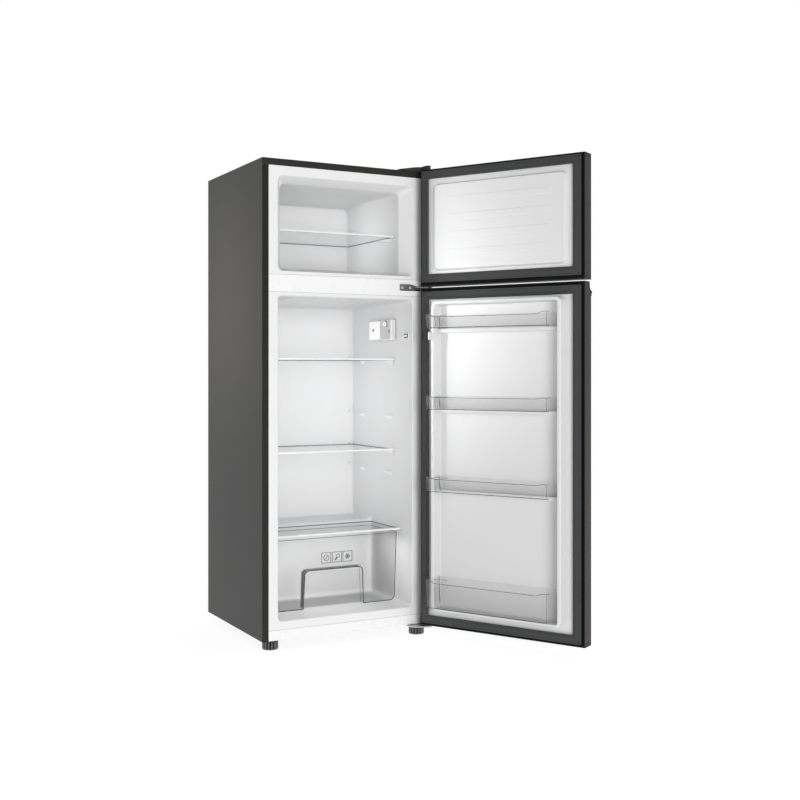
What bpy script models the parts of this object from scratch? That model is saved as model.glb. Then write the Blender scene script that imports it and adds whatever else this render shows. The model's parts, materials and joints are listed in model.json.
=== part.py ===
"""Top freezer refrigerator with both doors standing open.

The cabinet is modelled with x to its right, y to its back and z up, from the middle of its front
edge at the bottom of the steel body.  CABINET_PLACE then puts that point into the shared frame,
whose origin lies on the floor under the middle of the open refrigerator.  Doors are modelled
closed and turned about their hinge axis by DOOR_OPEN.
"""
import math

import bmesh
import bpy
from mathutils import Vector

# ---- outer body -----------------------------------------------------------------------------
BODY_W = 0.550
BODY_D = 0.478
BODY_H = 1.410
FOOT_H = 0.029
CABINET_PLACE = (-0.13177, 0.01762, FOOT_H)
SHEET = 0.001
FRONT_FOLD = 0.020
GAP = 0.0003
HALF_W = BODY_W / 2

# ---- compartments ---------------------------------------------------------------------------
LINER = 0.002
FLANGE_HALF = 0.2547
FRIDGE_HALF = 0.224
FRIDGE_FLOOR = 0.0555
FRIDGE_TOP = 1.0095
FRIDGE_TOP_BACK = 1.0012
FRIDGE_BACK = 0.423
FRIDGE_FLANGE = (0.0303, 1.0201)
HUMP_Y = 0.286
HUMP_TOP = 0.297
FREEZER_RIM = (0.2245, 1.0835, 1.3608)
FREEZER_INNER = (0.200, 1.094, 1.345)
FREEZER_LIP = 0.050
FREEZER_BACK = 0.412
FREEZER_FLANGE = (1.0722, 1.3897)
DIVIDER = (1.0205, 1.0719)
BAY_Y = 0.331
BAY_TOP = 0.245

# ---- doors ----------------------------------------------------------------------------------
AXIS_X = HALF_W - 0.0135
AXIS_Y = -0.031
DOOR_OPEN = math.radians(118.0)
DOOR_IN = -0.0105
DOOR_T = 0.049
DOOR_OUT = DOOR_IN - DOOR_T
FREEZER_DOOR = (1.050, 1.410)
FRIDGE_DOOR = (0.003, 1.044)
CAP = 0.012
GRIP_DROP = 0.040
GASKET_OUT = 0.267
GASKET_IN = 0.2415
FREEZER_GASKET = (1.0605, 1.4030)
FRIDGE_GASKET = (0.0130, 1.0330)
PIN_R = 0.0038
BORE_R = 0.0043
DIKE_HALF = 0.2172
DIKE_IN = 0.2045
DIKE_TOP = 0.025
PLUG_HALF = 0.2195

# ---- inside fittings ------------------------------------------------------------------------
GLASS = 0.004
SHELF_HALF = 0.2215
SHELF_FRONT = 0.114
SHELF_REAR = 0.4175
SHELF_LEVELS = (0.826, 0.649, 0.539, 0.469)
SHELVES = {"upper": 0.826, "lower": 0.539}
COVER_Z = 0.290
COVER_FRONT = 0.075
COVER_REAR = 0.2800
FREEZER_SHELF_Z = 1.213
FREEZER_SHELF_FRONT = 0.074
FREEZER_SHELF_REAR = 0.400
BIN_HALF = 0.2035
BIN_REACH = 0.0815
BIN_BACK = -0.0035
BIN_CORNER = 0.014
BIN_LEAN = 0.0025
BIN_STEP = (0.168, 0.186)
# each bin: height of its base, of its front rim and of its raised ends
BINS = {"bin_1": (0.9160, 0.9500, 0.9565), "bin_2": (0.6730, 0.7100, 0.7130),
        "bin_3": (0.4275, 0.4665, 0.4700), "bin_4": (0.0800, 0.1560, 0.1630)}
BIN_WALL = 0.0022
DRAWER_HALF = 0.218
DRAWER_FRONT = 0.085
DRAWER_REAR = 0.2790
DRAWER_BASE = 0.062
DRAWER_RIM = 0.2775
DRAWER_WALL = 0.0025
POCKET_TOP = 0.1790
POCKET_MID = -0.0045
POCKET_DEEP = 0.022

# ---- colours: base colour, roughness, metallic ----------------------------------------------
GRAPHITE = ((0.075, 0.072, 0.068), 0.38, 0.6)
GRAPHITE_TRIM = ((0.050, 0.048, 0.046), 0.45, 0.2)
WHITE_ABS = ((0.86, 0.86, 0.86), 0.30, 0.0)
WHITE_TRIM = ((0.90, 0.90, 0.90), 0.35, 0.0)
GASKET_GREY = ((0.070, 0.072, 0.074), 0.60, 0.0)
CLEAR = ((0.88, 0.90, 0.90), 0.08, 0.0)
PANE = ((0.80, 0.86, 0.84), 0.05, 0.0)
FOAM = ((0.86, 0.80, 0.62), 0.90, 0.0)
STEEL = ((0.60, 0.60, 0.60), 0.30, 1.0)
BLACK_PAINT = ((0.02, 0.02, 0.02), 0.40, 0.3)
COPPER = ((0.72, 0.42, 0.28), 0.30, 1.0)
GREY_PLASTIC = ((0.45, 0.46, 0.46), 0.50, 0.0)
DARK_PLASTIC = ((0.045, 0.045, 0.045), 0.50, 0.0)


def clear_scene():
    for item in list(bpy.data.objects):
        bpy.data.objects.remove(item, do_unlink=True)


def finish_of(name, look):
    colour, rough, metal = look
    mat = bpy.data.materials.new(name)
    mat.use_nodes = True
    shader = mat.node_tree.nodes["Principled BSDF"]
    shader.inputs["Base Color"].default_value = (colour[0], colour[1], colour[2], 1.0)
    shader.inputs["Roughness"].default_value = rough
    shader.inputs["Metallic"].default_value = metal
    return mat


def anchor(name, place, parent=None, turn=0.0):
    """An empty that carries pieces: the cabinet's own place, or a hinge axis."""
    empty = bpy.data.objects.new(name, None)
    bpy.context.scene.collection.objects.link(empty)
    empty.parent = parent
    empty.location = place
    empty.rotation_euler = (0.0, 0.0, turn)
    return empty


def from_bmesh(name, bm, holder, look=None, pivot=(0.0, 0.0, 0.0)):
    """Closed mesh in cabinet coordinates, hung on a holder with its origin at pivot."""
    bmesh.ops.remove_doubles(bm, verts=bm.verts, dist=1e-7)
    bmesh.ops.recalc_face_normals(bm, faces=bm.faces)
    home = Vector(holder.location) if holder.parent else Vector((0.0, 0.0, 0.0))
    bmesh.ops.translate(bm, verts=bm.verts, vec=-Vector(pivot))
    mesh = bpy.data.meshes.new(name)
    bm.to_mesh(mesh)
    bm.free()
    obj = bpy.data.objects.new(name, mesh)
    bpy.context.scene.collection.objects.link(obj)
    obj.parent = holder
    obj.location = Vector(pivot) - home
    if look:
        mesh.materials.append(finish_of(name, look))
    return obj


def add_box(bm, low, high):
    made = bmesh.ops.create_cube(bm, size=1.0)
    for vert in made["verts"]:
        for axis in range(3):
            middle = (low[axis] + high[axis]) / 2
            vert.co[axis] = middle + vert.co[axis] * (high[axis] - low[axis])


def box(name, low, high, holder, look=None, pivot=(0.0, 0.0, 0.0), bevel=0.0, steps=2):
    bm = bmesh.new()
    add_box(bm, low, high)
    obj = from_bmesh(name, bm, holder, look, pivot)
    if bevel:
        soften(obj, bevel, steps)
    return obj


def boxes(name, spans, holder):
    """Several separate boxes in one mesh, used as one tool."""
    bm = bmesh.new()
    for low, high in spans:
        add_box(bm, low, high)
    return from_bmesh(name, bm, holder)


def soften(obj, width, steps=2):
    mod = obj.modifiers.new("bevel", "BEVEL")
    mod.width = width
    mod.segments = steps
    mod.limit_method = "ANGLE"
    mod.angle_limit = math.radians(30)
    return mod


def combine(target, tool, how):
    tool.hide_render = True
    tool.display_type = "WIRE"
    mod = target.modifiers.new(how.lower(), "BOOLEAN")
    mod.operation = how
    mod.solver = "EXACT"
    mod.object = tool
    return target


def cut(target, tool):
    return combine(target, tool, "DIFFERENCE")


def fuse(target, tool):
    return combine(target, tool, "UNION")


def prism(name, outline, axis, low, high, holder, look=None, pivot=(0.0, 0.0, 0.0)):
    """An outline in the plane across an axis, drawn out along that axis."""
    order = {"x": (1, 2), "y": (0, 2), "z": (0, 1)}[axis]
    along = "xyz".index(axis)
    bm = bmesh.new()
    ends = []
    for level in (low, high):
        ring = []
        for first, second in outline:
            point = [0.0, 0.0, 0.0]
            point[order[0]] = first
            point[order[1]] = second
            point[along] = level
            ring.append(bm.verts.new(point))
        ends.append(ring)
    bridge(bm, ends)
    return from_bmesh(name, bm, holder, look, pivot)


def bridge(bm, rings):
    """Skin between rings of equal count, closed with a face at each end."""
    count = len(rings[0])
    for near, far in zip(rings, rings[1:]):
        for index in range(count):
            after = (index + 1) % count
            bm.faces.new((near[index], near[after], far[after], far[index]))
    bm.faces.new(rings[0])
    bm.faces.new(list(reversed(rings[-1])))


def loft(name, rings, holder, look=None, pivot=(0.0, 0.0, 0.0)):
    bm = bmesh.new()
    bridge(bm, [[bm.verts.new(point) for point in ring] for ring in rings])
    return from_bmesh(name, bm, holder, look, pivot)


def rounded(low_a, high_a, low_b, high_b, radius, steps=3):
    """Rounded rectangle as (a, b) points, anticlockwise from its lower right corner."""
    corners = ((high_a - radius, low_b + radius, -90), (high_a - radius, high_b - radius, 0),
               (low_a + radius, high_b - radius, 90), (low_a + radius, low_b + radius, 180))
    points = []
    for mid_a, mid_b, start in corners:
        for step in range(steps + 1):
            angle = math.radians(start + 90 * step / steps)
            points.append((mid_a + radius * math.cos(angle), mid_b + radius * math.sin(angle)))
    return points


def upright(y, half, low, high, radius, steps=3):
    """Rounded rectangle standing across y, even about the middle of the cabinet."""
    return [(a, y, b) for a, b in rounded(-half, half, low, high, radius, steps)]


def flat(z, low_x, high_x, low_y, high_y, radius, steps=3):
    """Rounded rectangle lying at height z."""
    return [(a, b, z) for a, b in rounded(low_x, high_x, low_y, high_y, radius, steps)]


def disc(centre, axis, radius, count=20):
    """Ring of points about an axis through centre."""
    order = {"x": (1, 2), "y": (2, 0), "z": (0, 1)}[axis]
    points = []
    for index in range(count):
        angle = 2 * math.pi * index / count
        point = list(centre)
        point[order[0]] += radius * math.cos(angle)
        point[order[1]] += radius * math.sin(angle)
        points.append(tuple(point))
    return points


def turned(name, stations, axis, place, holder, look=None, pivot=(0.0, 0.0, 0.0), count=20):
    """Body of revolution from (distance along the axis, radius) stations."""
    along = "xyz".index(axis)
    rings = []
    for distance, radius in stations:
        centre = list(place)
        centre[along] = distance
        rings.append(disc(centre, axis, radius, count))
    obj = loft(name, rings, holder, look, pivot)
    smooth(obj)
    return obj


def tube(name, path, radius, holder, look=None, count=8):
    """Round pipe through the points of a path, mitred at each bend."""
    points = [Vector(point) for point in path]
    rings = []
    side = Vector((0.0, 0.0, 1.0))
    for index, point in enumerate(points):
        before = points[max(index - 1, 0)]
        after = points[min(index + 1, len(points) - 1)]
        heading = (after - before).normalized()
        first = side.cross(heading)
        if first.length < 0.1:
            first = Vector((1.0, 0.0, 0.0)).cross(heading)
        first.normalize()
        second = heading.cross(first)
        side = second if abs(second.z) > 0.1 or abs(heading.z) > 0.9 else side
        ring = []
        for step in range(count):
            angle = 2 * math.pi * step / count
            ring.append(point + radius * (first * math.cos(angle) + second * math.sin(angle)))
        rings.append(ring)
    obj = loft(name, rings, holder, look)
    smooth(obj)
    return obj


def smooth(obj):
    for face in obj.data.polygons:
        face.use_smooth = len(face.vertices) == 4


# ---- cabinet --------------------------------------------------------------------------------
def side_panel(name, side, cabinet):
    """Painted steel side, folded 20 mm round the front edge."""
    outer = side * HALF_W
    inner = side * (HALF_W - SHEET)
    fold = side * (HALF_W - FRONT_FOLD)
    outline = [(outer, 0.0), (outer, BODY_D), (inner, BODY_D), (inner, SHEET), (fold, SHEET),
               (fold, 0.0)]
    panel = prism(name, outline, "z", 0.0, BODY_H - 0.0013, cabinet, GRAPHITE)
    corner = BODY_H - FRONT_FOLD - GAP
    notch = box(name + "_corner_notch", (-0.3, -0.01, corner), (0.3, 0.0012, BODY_H + 0.01),
                cabinet)
    if side > 0:
        foot = box(name + "_hinge_notch", (0.25, -0.01, -0.01), (HALF_W + 0.001, 0.0032, 0.0385),
                   cabinet)
        cut(panel, foot)
    cut(panel, notch)
    return panel


def top_cover(cabinet):
    """Painted top sheet with a folded front band."""
    high = BODY_H
    low = BODY_H - SHEET
    outline = [(0.0, high), (BODY_D, high), (BODY_D, low), (SHEET, low),
               (SHEET, high - FRONT_FOLD), (0.0, high - FRONT_FOLD)]
    return prism("top_cover", outline, "x", -HALF_W, HALF_W, cabinet, GRAPHITE_TRIM)


def back_panel(cabinet):
    half = HALF_W - SHEET - GAP
    return box("back_panel", (-half, BODY_D - SHEET, BAY_TOP + 0.004),
               (half, BODY_D, BODY_H - 0.0013), cabinet, GRAPHITE_TRIM)


def base_plate(cabinet):
    half = HALF_W - SHEET - GAP
    return box("base_plate", (-half, 0.0035, 0.0), (half, BODY_D - 0.001, 0.0012), cabinet,
               BLACK_PAINT)


def bay_plate(cabinet):
    """Bent sheet that lines the compressor bay in front and above."""
    half = HALF_W - SHEET - 2 * GAP
    front = BAY_Y
    outline = [(front, 0.0016), (front, BAY_TOP), (BODY_D - 0.0005, BAY_TOP),
               (BODY_D - 0.0005, BAY_TOP - SHEET), (front + SHEET, BAY_TOP - SHEET),
               (front + SHEET, 0.0016)]
    return prism("bay_plate", outline, "x", -half, half, cabinet, STEEL)


def fridge_profile(grow):
    """Side outline of the fresh food space with the compressor hump at its back."""
    return [(-0.02, FRIDGE_FLOOR - grow), (HUMP_Y - 0.003 + grow, FRIDGE_FLOOR - grow),
            (HUMP_Y + grow, HUMP_TOP - grow), (FRIDGE_BACK + grow, HUMP_TOP - grow),
            (FRIDGE_BACK + grow, FRIDGE_TOP_BACK + grow), (-0.02, FRIDGE_TOP + grow)]


def fridge_block(name, grow, front, cabinet):
    """The fresh food space as a solid, grown outward and squared off at front."""
    outline = [(y if y > 0 else front, z) for y, z in fridge_profile(grow)]
    half = FRIDGE_HALF + grow
    block = prism(name, outline, "x", -half, half, cabinet)
    soften(block, 0.011, 3)
    return block


def support_noses(name, half, levels, rows, deep, high, cabinet):
    """Wedges on both side walls under a shelf: tall and flush in front, low and deep behind."""
    bm = bmesh.new()
    for level in levels:
        for start, end in rows:
            for side in (-1, 1):
                root = side * (half + 0.001)
                tip = side * (half - deep)
                lean = side * (half - 0.0012)
                front = [(root, start, level), (lean, start, level), (lean, start, level - high),
                         (root, start, level - high)]
                rear = [(root, end, level), (tip, end, level), (tip, end, level - 0.0035),
                        (root, end, level - 0.0035)]
                bridge(bm, [[bm.verts.new(point) for point in ring] for ring in (front, rear)])
    return from_bmesh(name, bm, cabinet)


def fridge_liner(cabinet):
    """White tub with its flange, shelf ribs and rear shelf stops."""
    low, high = FRIDGE_FLANGE
    liner = box("fridge_liner", (-FLANGE_HALF, -0.002, low), (FLANGE_HALF, 0.0025, high),
                cabinet, WHITE_ABS)
    fuse(liner, fridge_block("fridge_liner_shell", LINER, -0.030, cabinet))
    cut(liner, fridge_block("fridge_liner_space", 0.0, -0.040, cabinet))
    cut(liner, box("fridge_liner_face", (-0.3, -0.1, -0.1), (0.3, 0.0005, 1.2), cabinet))
    rim = loft("fridge_liner_rim", [
        upright(-0.002, FRIDGE_HALF + 0.0030, FRIDGE_FLOOR - 0.0030, FRIDGE_TOP + 0.0030, 0.014),
        upright(0.0008, FRIDGE_HALF + 0.0022, FRIDGE_FLOOR - 0.0022, FRIDGE_TOP + 0.0022, 0.013),
        upright(0.0022, FRIDGE_HALF + 0.0008, FRIDGE_FLOOR - 0.0008, FRIDGE_TOP + 0.0008, 0.012),
        upright(0.0050, FRIDGE_HALF - 0.0004, FRIDGE_FLOOR + 0.0004, FRIDGE_TOP - 0.0004, 0.011),
    ], cabinet)
    cut(liner, rim)
    under = [level - GLASS - GAP for level in SHELF_LEVELS]
    rows = ((0.126, 0.175), (0.325, 0.346))
    fuse(liner, support_noses("fridge_liner_noses", FRIDGE_HALF, under, rows, 0.010, 0.012,
                              cabinet))
    fuse(liner, support_noses("fridge_liner_cover_noses", FRIDGE_HALF, [COVER_Z - GLASS - GAP],
                              ((0.235, 0.2835),), 0.0045, 0.006, cabinet))
    return liner


def freezer_ring(y, grow, blend, radius):
    """Rounded ring of the freezer space: blend 0 at the rim, 1 behind the lip."""
    values = [rim + (inner - rim) * blend for rim, inner in zip(FREEZER_RIM, FREEZER_INNER)]
    return upright(y, values[0] + grow, values[1] - grow, values[2] + grow, radius)


def freezer_shell(grow, front):
    """Rings of the outside of the freezer tub, from its back to its front."""
    back = FREEZER_BACK + grow
    half, low, high = FREEZER_INNER
    return [upright(back, half - 0.014 + grow, low + 0.012 - grow, high - 0.017 + grow, 0.012),
            upright(back - 0.010, half - 0.002 + grow, low + 0.002 - grow, high - 0.004 + grow,
                    0.014),
            freezer_ring(FREEZER_LIP, grow, 1.0, 0.014 + grow),
            freezer_ring(front, grow, 0.0, 0.014 + grow)]


def freezer_liner(cabinet):
    """White tub with a wide sloped lip round its mouth and two shelf ribs a side."""
    low, high = FREEZER_FLANGE
    half, floor, roof = FREEZER_INNER
    rings = freezer_shell(LINER, 0.0025)
    rings += [upright(0.0025, FLANGE_HALF, low, high, 0.001),
              upright(0.0005, FLANGE_HALF, low, high, 0.001),
              freezer_ring(0.0005, 0.0020, 0.0, 0.016),
              freezer_ring(0.0030, 0.0, 0.0, 0.014),
              freezer_ring(FREEZER_LIP - 0.004, 0.0, 0.95, 0.014),
              freezer_ring(FREEZER_LIP + 0.002, 0.0, 1.0, 0.014),
              upright(0.270, half - 0.001, floor + 0.001, roof, 0.014),
              upright(FREEZER_BACK - 0.012, half - 0.002, floor + 0.002, roof - 0.004, 0.014),
              upright(FREEZER_BACK - 0.0035, half - 0.0055, floor + 0.0055, roof - 0.008, 0.013),
              upright(FREEZER_BACK, half - 0.014, floor + 0.012, roof - 0.017, 0.012)]
    liner = loft("freezer_liner", rings, cabinet, WHITE_ABS)
    rows = ((0.0865, 0.165), (0.330, 0.372))
    fuse(liner, support_noses("freezer_liner_noses", half - 0.0005,
                              [FREEZER_SHELF_Z - GLASS - GAP], rows, 0.007, 0.010, cabinet))
    return liner


def cabinet_foam(cabinet):
    """Rigid foam between the steel body and the two tubs."""
    half = HALF_W - SHEET - 2 * GAP
    outline = [(0.0030, 0.0016), (BAY_Y - GAP, 0.0016), (BAY_Y - GAP, BAY_TOP + GAP),
               (BODY_D - 0.0014, BAY_TOP + GAP), (BODY_D - 0.0014, BODY_H - 0.0016),
               (0.0030, BODY_H - 0.0016)]
    foam = prism("cabinet_foam", outline, "x", -half, half, cabinet, FOAM)
    cut(foam, fridge_block("foam_fridge_space", LINER + 0.0012, -0.030, cabinet))
    rings = freezer_shell(LINER + GAP, 0.0028)
    rings.append(freezer_ring(-0.01, LINER + GAP, 0.0, 0.014))
    cut(foam, loft("foam_freezer_space", rings, cabinet))
    return foam


def front_beams(cabinet):
    """White strips between the compartments and along the bottom."""
    box("divider_cover", (-FLANGE_HALF, 0.0005, DIVIDER[0]), (FLANGE_HALF, 0.0027, DIVIDER[1]),
        cabinet, WHITE_TRIM)
    box("bottom_beam", (-FLANGE_HALF, 0.0005, 0.0003), (0.2519, 0.0027, FRIDGE_FLANGE[0] - GAP),
        cabinet, WHITE_TRIM)


def thermostat(cabinet):
    """Lamp and temperature control box on the right wall, its knob facing across the cabinet."""
    box("thermostat_housing", (0.2037, 0.1056, 0.8865), (FRIDGE_HALF - GAP, 0.2588, 0.9535),
        cabinet, WHITE_TRIM, bevel=0.005, steps=3)
    box("thermostat_cover", (0.2018, 0.1100, 0.8905), (0.2034, 0.1747, 0.9495), cabinet,
        GREY_PLASTIC, bevel=0.0005, steps=1)
    place = (0.0, 0.1370, 0.9390)
    knob = turned("thermostat_knob", [(0.2015, 0.0088), (0.1962, 0.0086), (0.1948, 0.0076),
                                      (0.1943, 0.0058)], "x", place, cabinet, GREY_PLASTIC,
                  pivot=(0.1975, place[1], place[2]))
    grip = box("thermostat_knob_grip", (0.1905, 0.1355, 0.9325), (0.1970, 0.1385, 0.9455),
               cabinet)
    fuse(knob, grip)


def door_switch(cabinet):
    """Lamp switch on the right wall, pressed by a fin on the closed door."""
    wall = FRIDGE_HALF - GAP
    housing = box("door_switch_housing", (0.2195, 0.0180, 0.8895), (wall, 0.0570, 0.9075), cabinet,
                  WHITE_TRIM, bevel=0.0008, steps=1)
    slot = box("door_switch_slot", (0.2170, 0.0300, 0.8945), (0.2233, 0.0480, 0.9025), cabinet)
    cut(housing, slot)
    middle = (0.2198, 0.039, 0.8985)
    box("door_switch_button", (0.2165, 0.0305, 0.8950), (0.2200, 0.0475, 0.9020), cabinet,
        GREY_PLASTIC, pivot=middle, bevel=0.0006, steps=1)


# ---- machine room and feet ------------------------------------------------------------------
def oval(z, half_x, half_y, place, count=18):
    points = []
    for index in range(count):
        angle = 2 * math.pi * index / count
        points.append((place[0] + half_x * math.cos(angle), place[1] + half_y * math.sin(angle), z))
    return points


def machine_room(cabinet):
    """Compressor with its tray, pipes and the gland for the mains lead."""
    place = (0.055, 0.404)
    shell = [(0.0215, 0.62), (0.030, 0.82), (0.045, 0.96), (0.075, 1.0), (0.098, 1.0),
             (0.130, 0.95), (0.150, 0.80), (0.160, 0.55)]
    rings = [oval(z, 0.092 * size, 0.064 * size, place) for z, size in shell]
    compressor = loft("compressor", rings, cabinet, BLACK_PAINT)
    smooth(compressor)
    mounts = [((place[0] - 0.098, 0.352, 0.0195), (place[0] + 0.098, 0.452, 0.0235))]
    fuse(compressor, boxes("compressor_mounts", mounts, cabinet))
    for index, (side_x, side_y) in enumerate(((-1, -1), (1, -1), (-1, 1), (1, 1))):
        name = "compressor_grommet_%d" % (index + 1)
        spot = (place[0] + side_x * 0.086, 0.402 + side_y * 0.038, 0.0)
        turned(name, [(0.0015, 0.010), (0.008, 0.008), (0.0192, 0.010)], "z", spot, cabinet,
               DARK_PLASTIC, count=12)
    low_x, high_x = place[0] - 0.070, place[0] + 0.070
    low_y, high_y = place[1] - 0.052, place[1] + 0.052
    wall = 0.0015
    loft("drip_tray", [
        flat(0.1605, low_x + 0.004, high_x - 0.004, low_y + 0.004, high_y - 0.004, 0.012),
        flat(0.1900, low_x, high_x, low_y, high_y, 0.014),
        flat(0.1900, low_x + wall, high_x - wall, low_y + wall, high_y - wall, 0.0125),
        flat(0.1620, low_x + 0.0055, high_x - 0.0055, low_y + 0.0055, high_y - 0.0055, 0.0105),
    ], cabinet, DARK_PLASTIC)
    tube("discharge_pipe", [(-0.0385, 0.404, 0.085), (-0.060, 0.404, 0.085),
                            (-0.075, 0.404, 0.092), (-0.080, 0.404, 0.110),
                            (-0.080, 0.404, 0.200), (-0.084, 0.404, 0.218),
                            (-0.100, 0.404, 0.226), (-0.262, 0.404, 0.226)],
         0.0032, cabinet, COPPER)
    tube("suction_pipe", [(0.1485, 0.404, 0.085), (0.165, 0.404, 0.085), (0.180, 0.404, 0.092),
                          (0.186, 0.404, 0.110), (0.186, 0.404, 0.205), (0.190, 0.404, 0.222),
                          (0.205, 0.404, 0.230), (0.262, 0.404, 0.230)],
         0.0042, cabinet, COPPER)
    inlet = box("power_inlet", (-0.228, 0.418, 0.0015), (-0.182, 0.4547, 0.052), cabinet,
                DARK_PLASTIC)
    gland = turned("power_inlet_gland", [(0.450, 0.011), (0.4605, 0.011), (0.4610, 0.0085),
                                         (0.4775, 0.0070)], "y", (-0.205, 0.0, 0.030), cabinet,
                   count=14)
    fuse(inlet, gland)


def knob_outline(radius, teeth, deep):
    """Toothed round outline of a levelling foot."""
    points = []
    for index in range(teeth * 4):
        angle = 2 * math.pi * index / (teeth * 4)
        size = radius if index % 4 < 2 else radius - deep
        points.append((size * math.cos(angle), size * math.sin(angle)))
    return points


def levelling_foot(name, place, top, cabinet):
    """Ribbed levelling foot with its hexagon head and stem."""
    base = -FOOT_H
    outline = [(place[0] + a, place[1] + b) for a, b in knob_outline(0.0240, 14, 0.0012)]
    foot = prism(name, outline, "z", base + 0.002, top - 0.003, cabinet, GREY_PLASTIC,
                 pivot=(place[0], place[1], base))
    pad = turned(name + "_core", [(base, 0.0205), (base + 0.0015, 0.0222), (top - 0.0032, 0.0222),
                                  (top - 0.0015, 0.0120), (top - 0.0014, 0.0055), (top, 0.0055)],
                 "z", (place[0], place[1], 0.0), cabinet, count=24)
    fuse(foot, pad)
    return foot


def rear_roller(name, side, cabinet):
    """Small roller on an axle in a folded bracket under the back corner."""
    middle_x = side * 0.190
    axle = (middle_x, 0.440, -FOOT_H + 0.0135)
    bracket = box(name + "_bracket", (middle_x - 0.0145, 0.424, -0.0012 - GAP),
                  (middle_x + 0.0145, 0.456, -GAP), cabinet, STEEL)
    cheeks = []
    for end in (-1, 1):
        inner = middle_x + end * 0.0125
        outer = middle_x + end * 0.0145
        cheeks.append(((min(inner, outer), 0.426, axle[2] - 0.0055),
                       (max(inner, outer), 0.454, -0.0010)))
    fuse(bracket, boxes(name + "_cheeks", cheeks, cabinet))
    pin = turned(name + "_axle", [(middle_x - 0.0155, 0.0028), (middle_x + 0.0155, 0.0028)], "x",
                 axle, cabinet, count=16)
    fuse(bracket, pin)
    wheel = turned(name, [(middle_x - 0.0105, 0.0120), (middle_x - 0.0090, 0.0135),
                          (middle_x + 0.0090, 0.0135), (middle_x + 0.0105, 0.0120)], "x", axle,
                   cabinet, DARK_PLASTIC, pivot=axle, count=24)
    hole = turned(name + "_bore", [(middle_x - 0.02, 0.0032), (middle_x + 0.02, 0.0032)], "x",
                  axle, cabinet, count=16)
    cut(wheel, hole)


# ---- hinges ---------------------------------------------------------------------------------
def hinge_pin(name, low, high, cabinet):
    return turned(name, [(low, PIN_R * 0.8), (low + 0.001, PIN_R), (high - 0.001, PIN_R),
                         (high, PIN_R * 0.8)], "z", (AXIS_X, AXIS_Y, 0.0), cabinet, count=16)


def hinge_plan(radius, wing, front, rear):
    """Plan of the top hinge: a wing on the roof and a round nose over the doors' axis."""
    outline = [(wing, rear), (wing, front), (AXIS_X - radius, front)]
    for step in range(9):
        angle = math.radians(180 + 22.5 * step)
        outline.append((AXIS_X + radius * math.cos(angle), AXIS_Y + radius * math.sin(angle)))
    outline.append((AXIS_X + radius, rear))
    return outline


def top_hinge(cabinet):
    """Steel plate on the roof with a pin down into the upper door, under a plastic cover."""
    low = BODY_H + GAP
    high = low + 0.0030
    top = BODY_H + 0.0145
    plate = prism("top_hinge", hinge_plan(0.0070, 0.1930, -0.0040, 0.0600), "z", low, high,
                  cabinet, STEEL)
    fuse(plate, hinge_pin("top_hinge_pin", BODY_H - 0.0105, low + 0.001, cabinet))
    cover = prism("top_hinge_cover", hinge_plan(0.0090, 0.1745, -0.0055, 0.0640), "z", low, top,
                  cabinet, DARK_PLASTIC)
    slope = [(0.1740, BODY_H + 0.0022), (0.2250, BODY_H + 0.0115), (0.2500, top),
             (0.2500, top + 0.02), (0.1740, top + 0.02)]
    cut(cover, prism("top_hinge_cover_slope", slope, "y", -0.08, 0.10, cabinet))
    cut(cover, prism("top_hinge_cover_pocket", hinge_plan(0.0075, 0.1925, -0.0045, 0.0605), "z",
                     low - 0.01, high + GAP, cabinet))


def middle_hinge(cabinet):
    """Plate screwed to the divider with a tongue and a pin each way between the doors."""
    plate = prism("middle_hinge", [(0.1787, 1.0370), (0.2512, 1.0370), (0.2512, 1.0495),
                                   (0.2450, 1.0495), (0.2170, 1.0570), (0.1787, 1.0570)], "y",
                  -0.0030, -GAP, cabinet, STEEL)
    tongue = prism("middle_hinge_tongue", [(0.2270, -0.0010), (0.2500, -0.0010), (0.2735, -0.0200),
                                           (0.2735, -0.0380), (0.2660, -0.0440),
                                           (0.2550, -0.0440), (0.2480, -0.0380)], "z", 1.0455,
                   1.0485, cabinet)
    fuse(plate, tongue)
    fuse(plate, hinge_pin("middle_hinge_pin", 1.0350, 1.0590, cabinet))


def bottom_hinge(cabinet):
    """Bracket under the right corner with an upright ear and a pin into the lower door."""
    plate = prism("bottom_hinge", [(0.2080, 0.045), (0.2735, 0.045), (0.2735, -0.0380),
                                   (0.2670, -0.0440), (0.2550, -0.0440), (0.2080, -0.0200)],
                  "z", -0.0050, -0.0010, cabinet, STEEL)
    ear = box("bottom_hinge_ear", (0.2552, 0.0003, -0.0015), (0.2733, 0.0028, 0.0378), cabinet)
    fuse(plate, ear)
    fuse(plate, hinge_pin("bottom_hinge_pin", -0.0015, 0.0120, cabinet))


# ---- doors ----------------------------------------------------------------------------------
def shell_outline():
    """Plan of a door skin: a sheet bent round the front, the sides and behind them."""
    outer = []
    inner = []
    radius = 0.005
    for side in (-1, 1):
        steps = range(4) if side < 0 else range(3, -1, -1)
        arc_out = []
        arc_in = []
        for step in steps:
            angle = math.radians(30 * step)
            mid_x = side * (HALF_W - radius)
            mid_y = DOOR_OUT + radius
            arc_out.append((mid_x + side * radius * math.cos(angle),
                            mid_y - radius * math.sin(angle)))
            less = radius - SHEET
            arc_in.append((mid_x + side * less * math.cos(angle), mid_y - less * math.sin(angle)))
        back = DOOR_IN - 0.0023
        ends_out = [(side * 0.2620, back), (side * HALF_W, back)]
        ends_in = [(side * 0.2620, back - SHEET), (side * (HALF_W - SHEET), back - SHEET)]
        if side < 0:
            outer += ends_out + arc_out
            inner += ends_in + arc_in
        else:
            outer += arc_out + list(reversed(ends_out))
            inner += arc_in + list(reversed(ends_in))
    return outer + list(reversed(inner))


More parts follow.
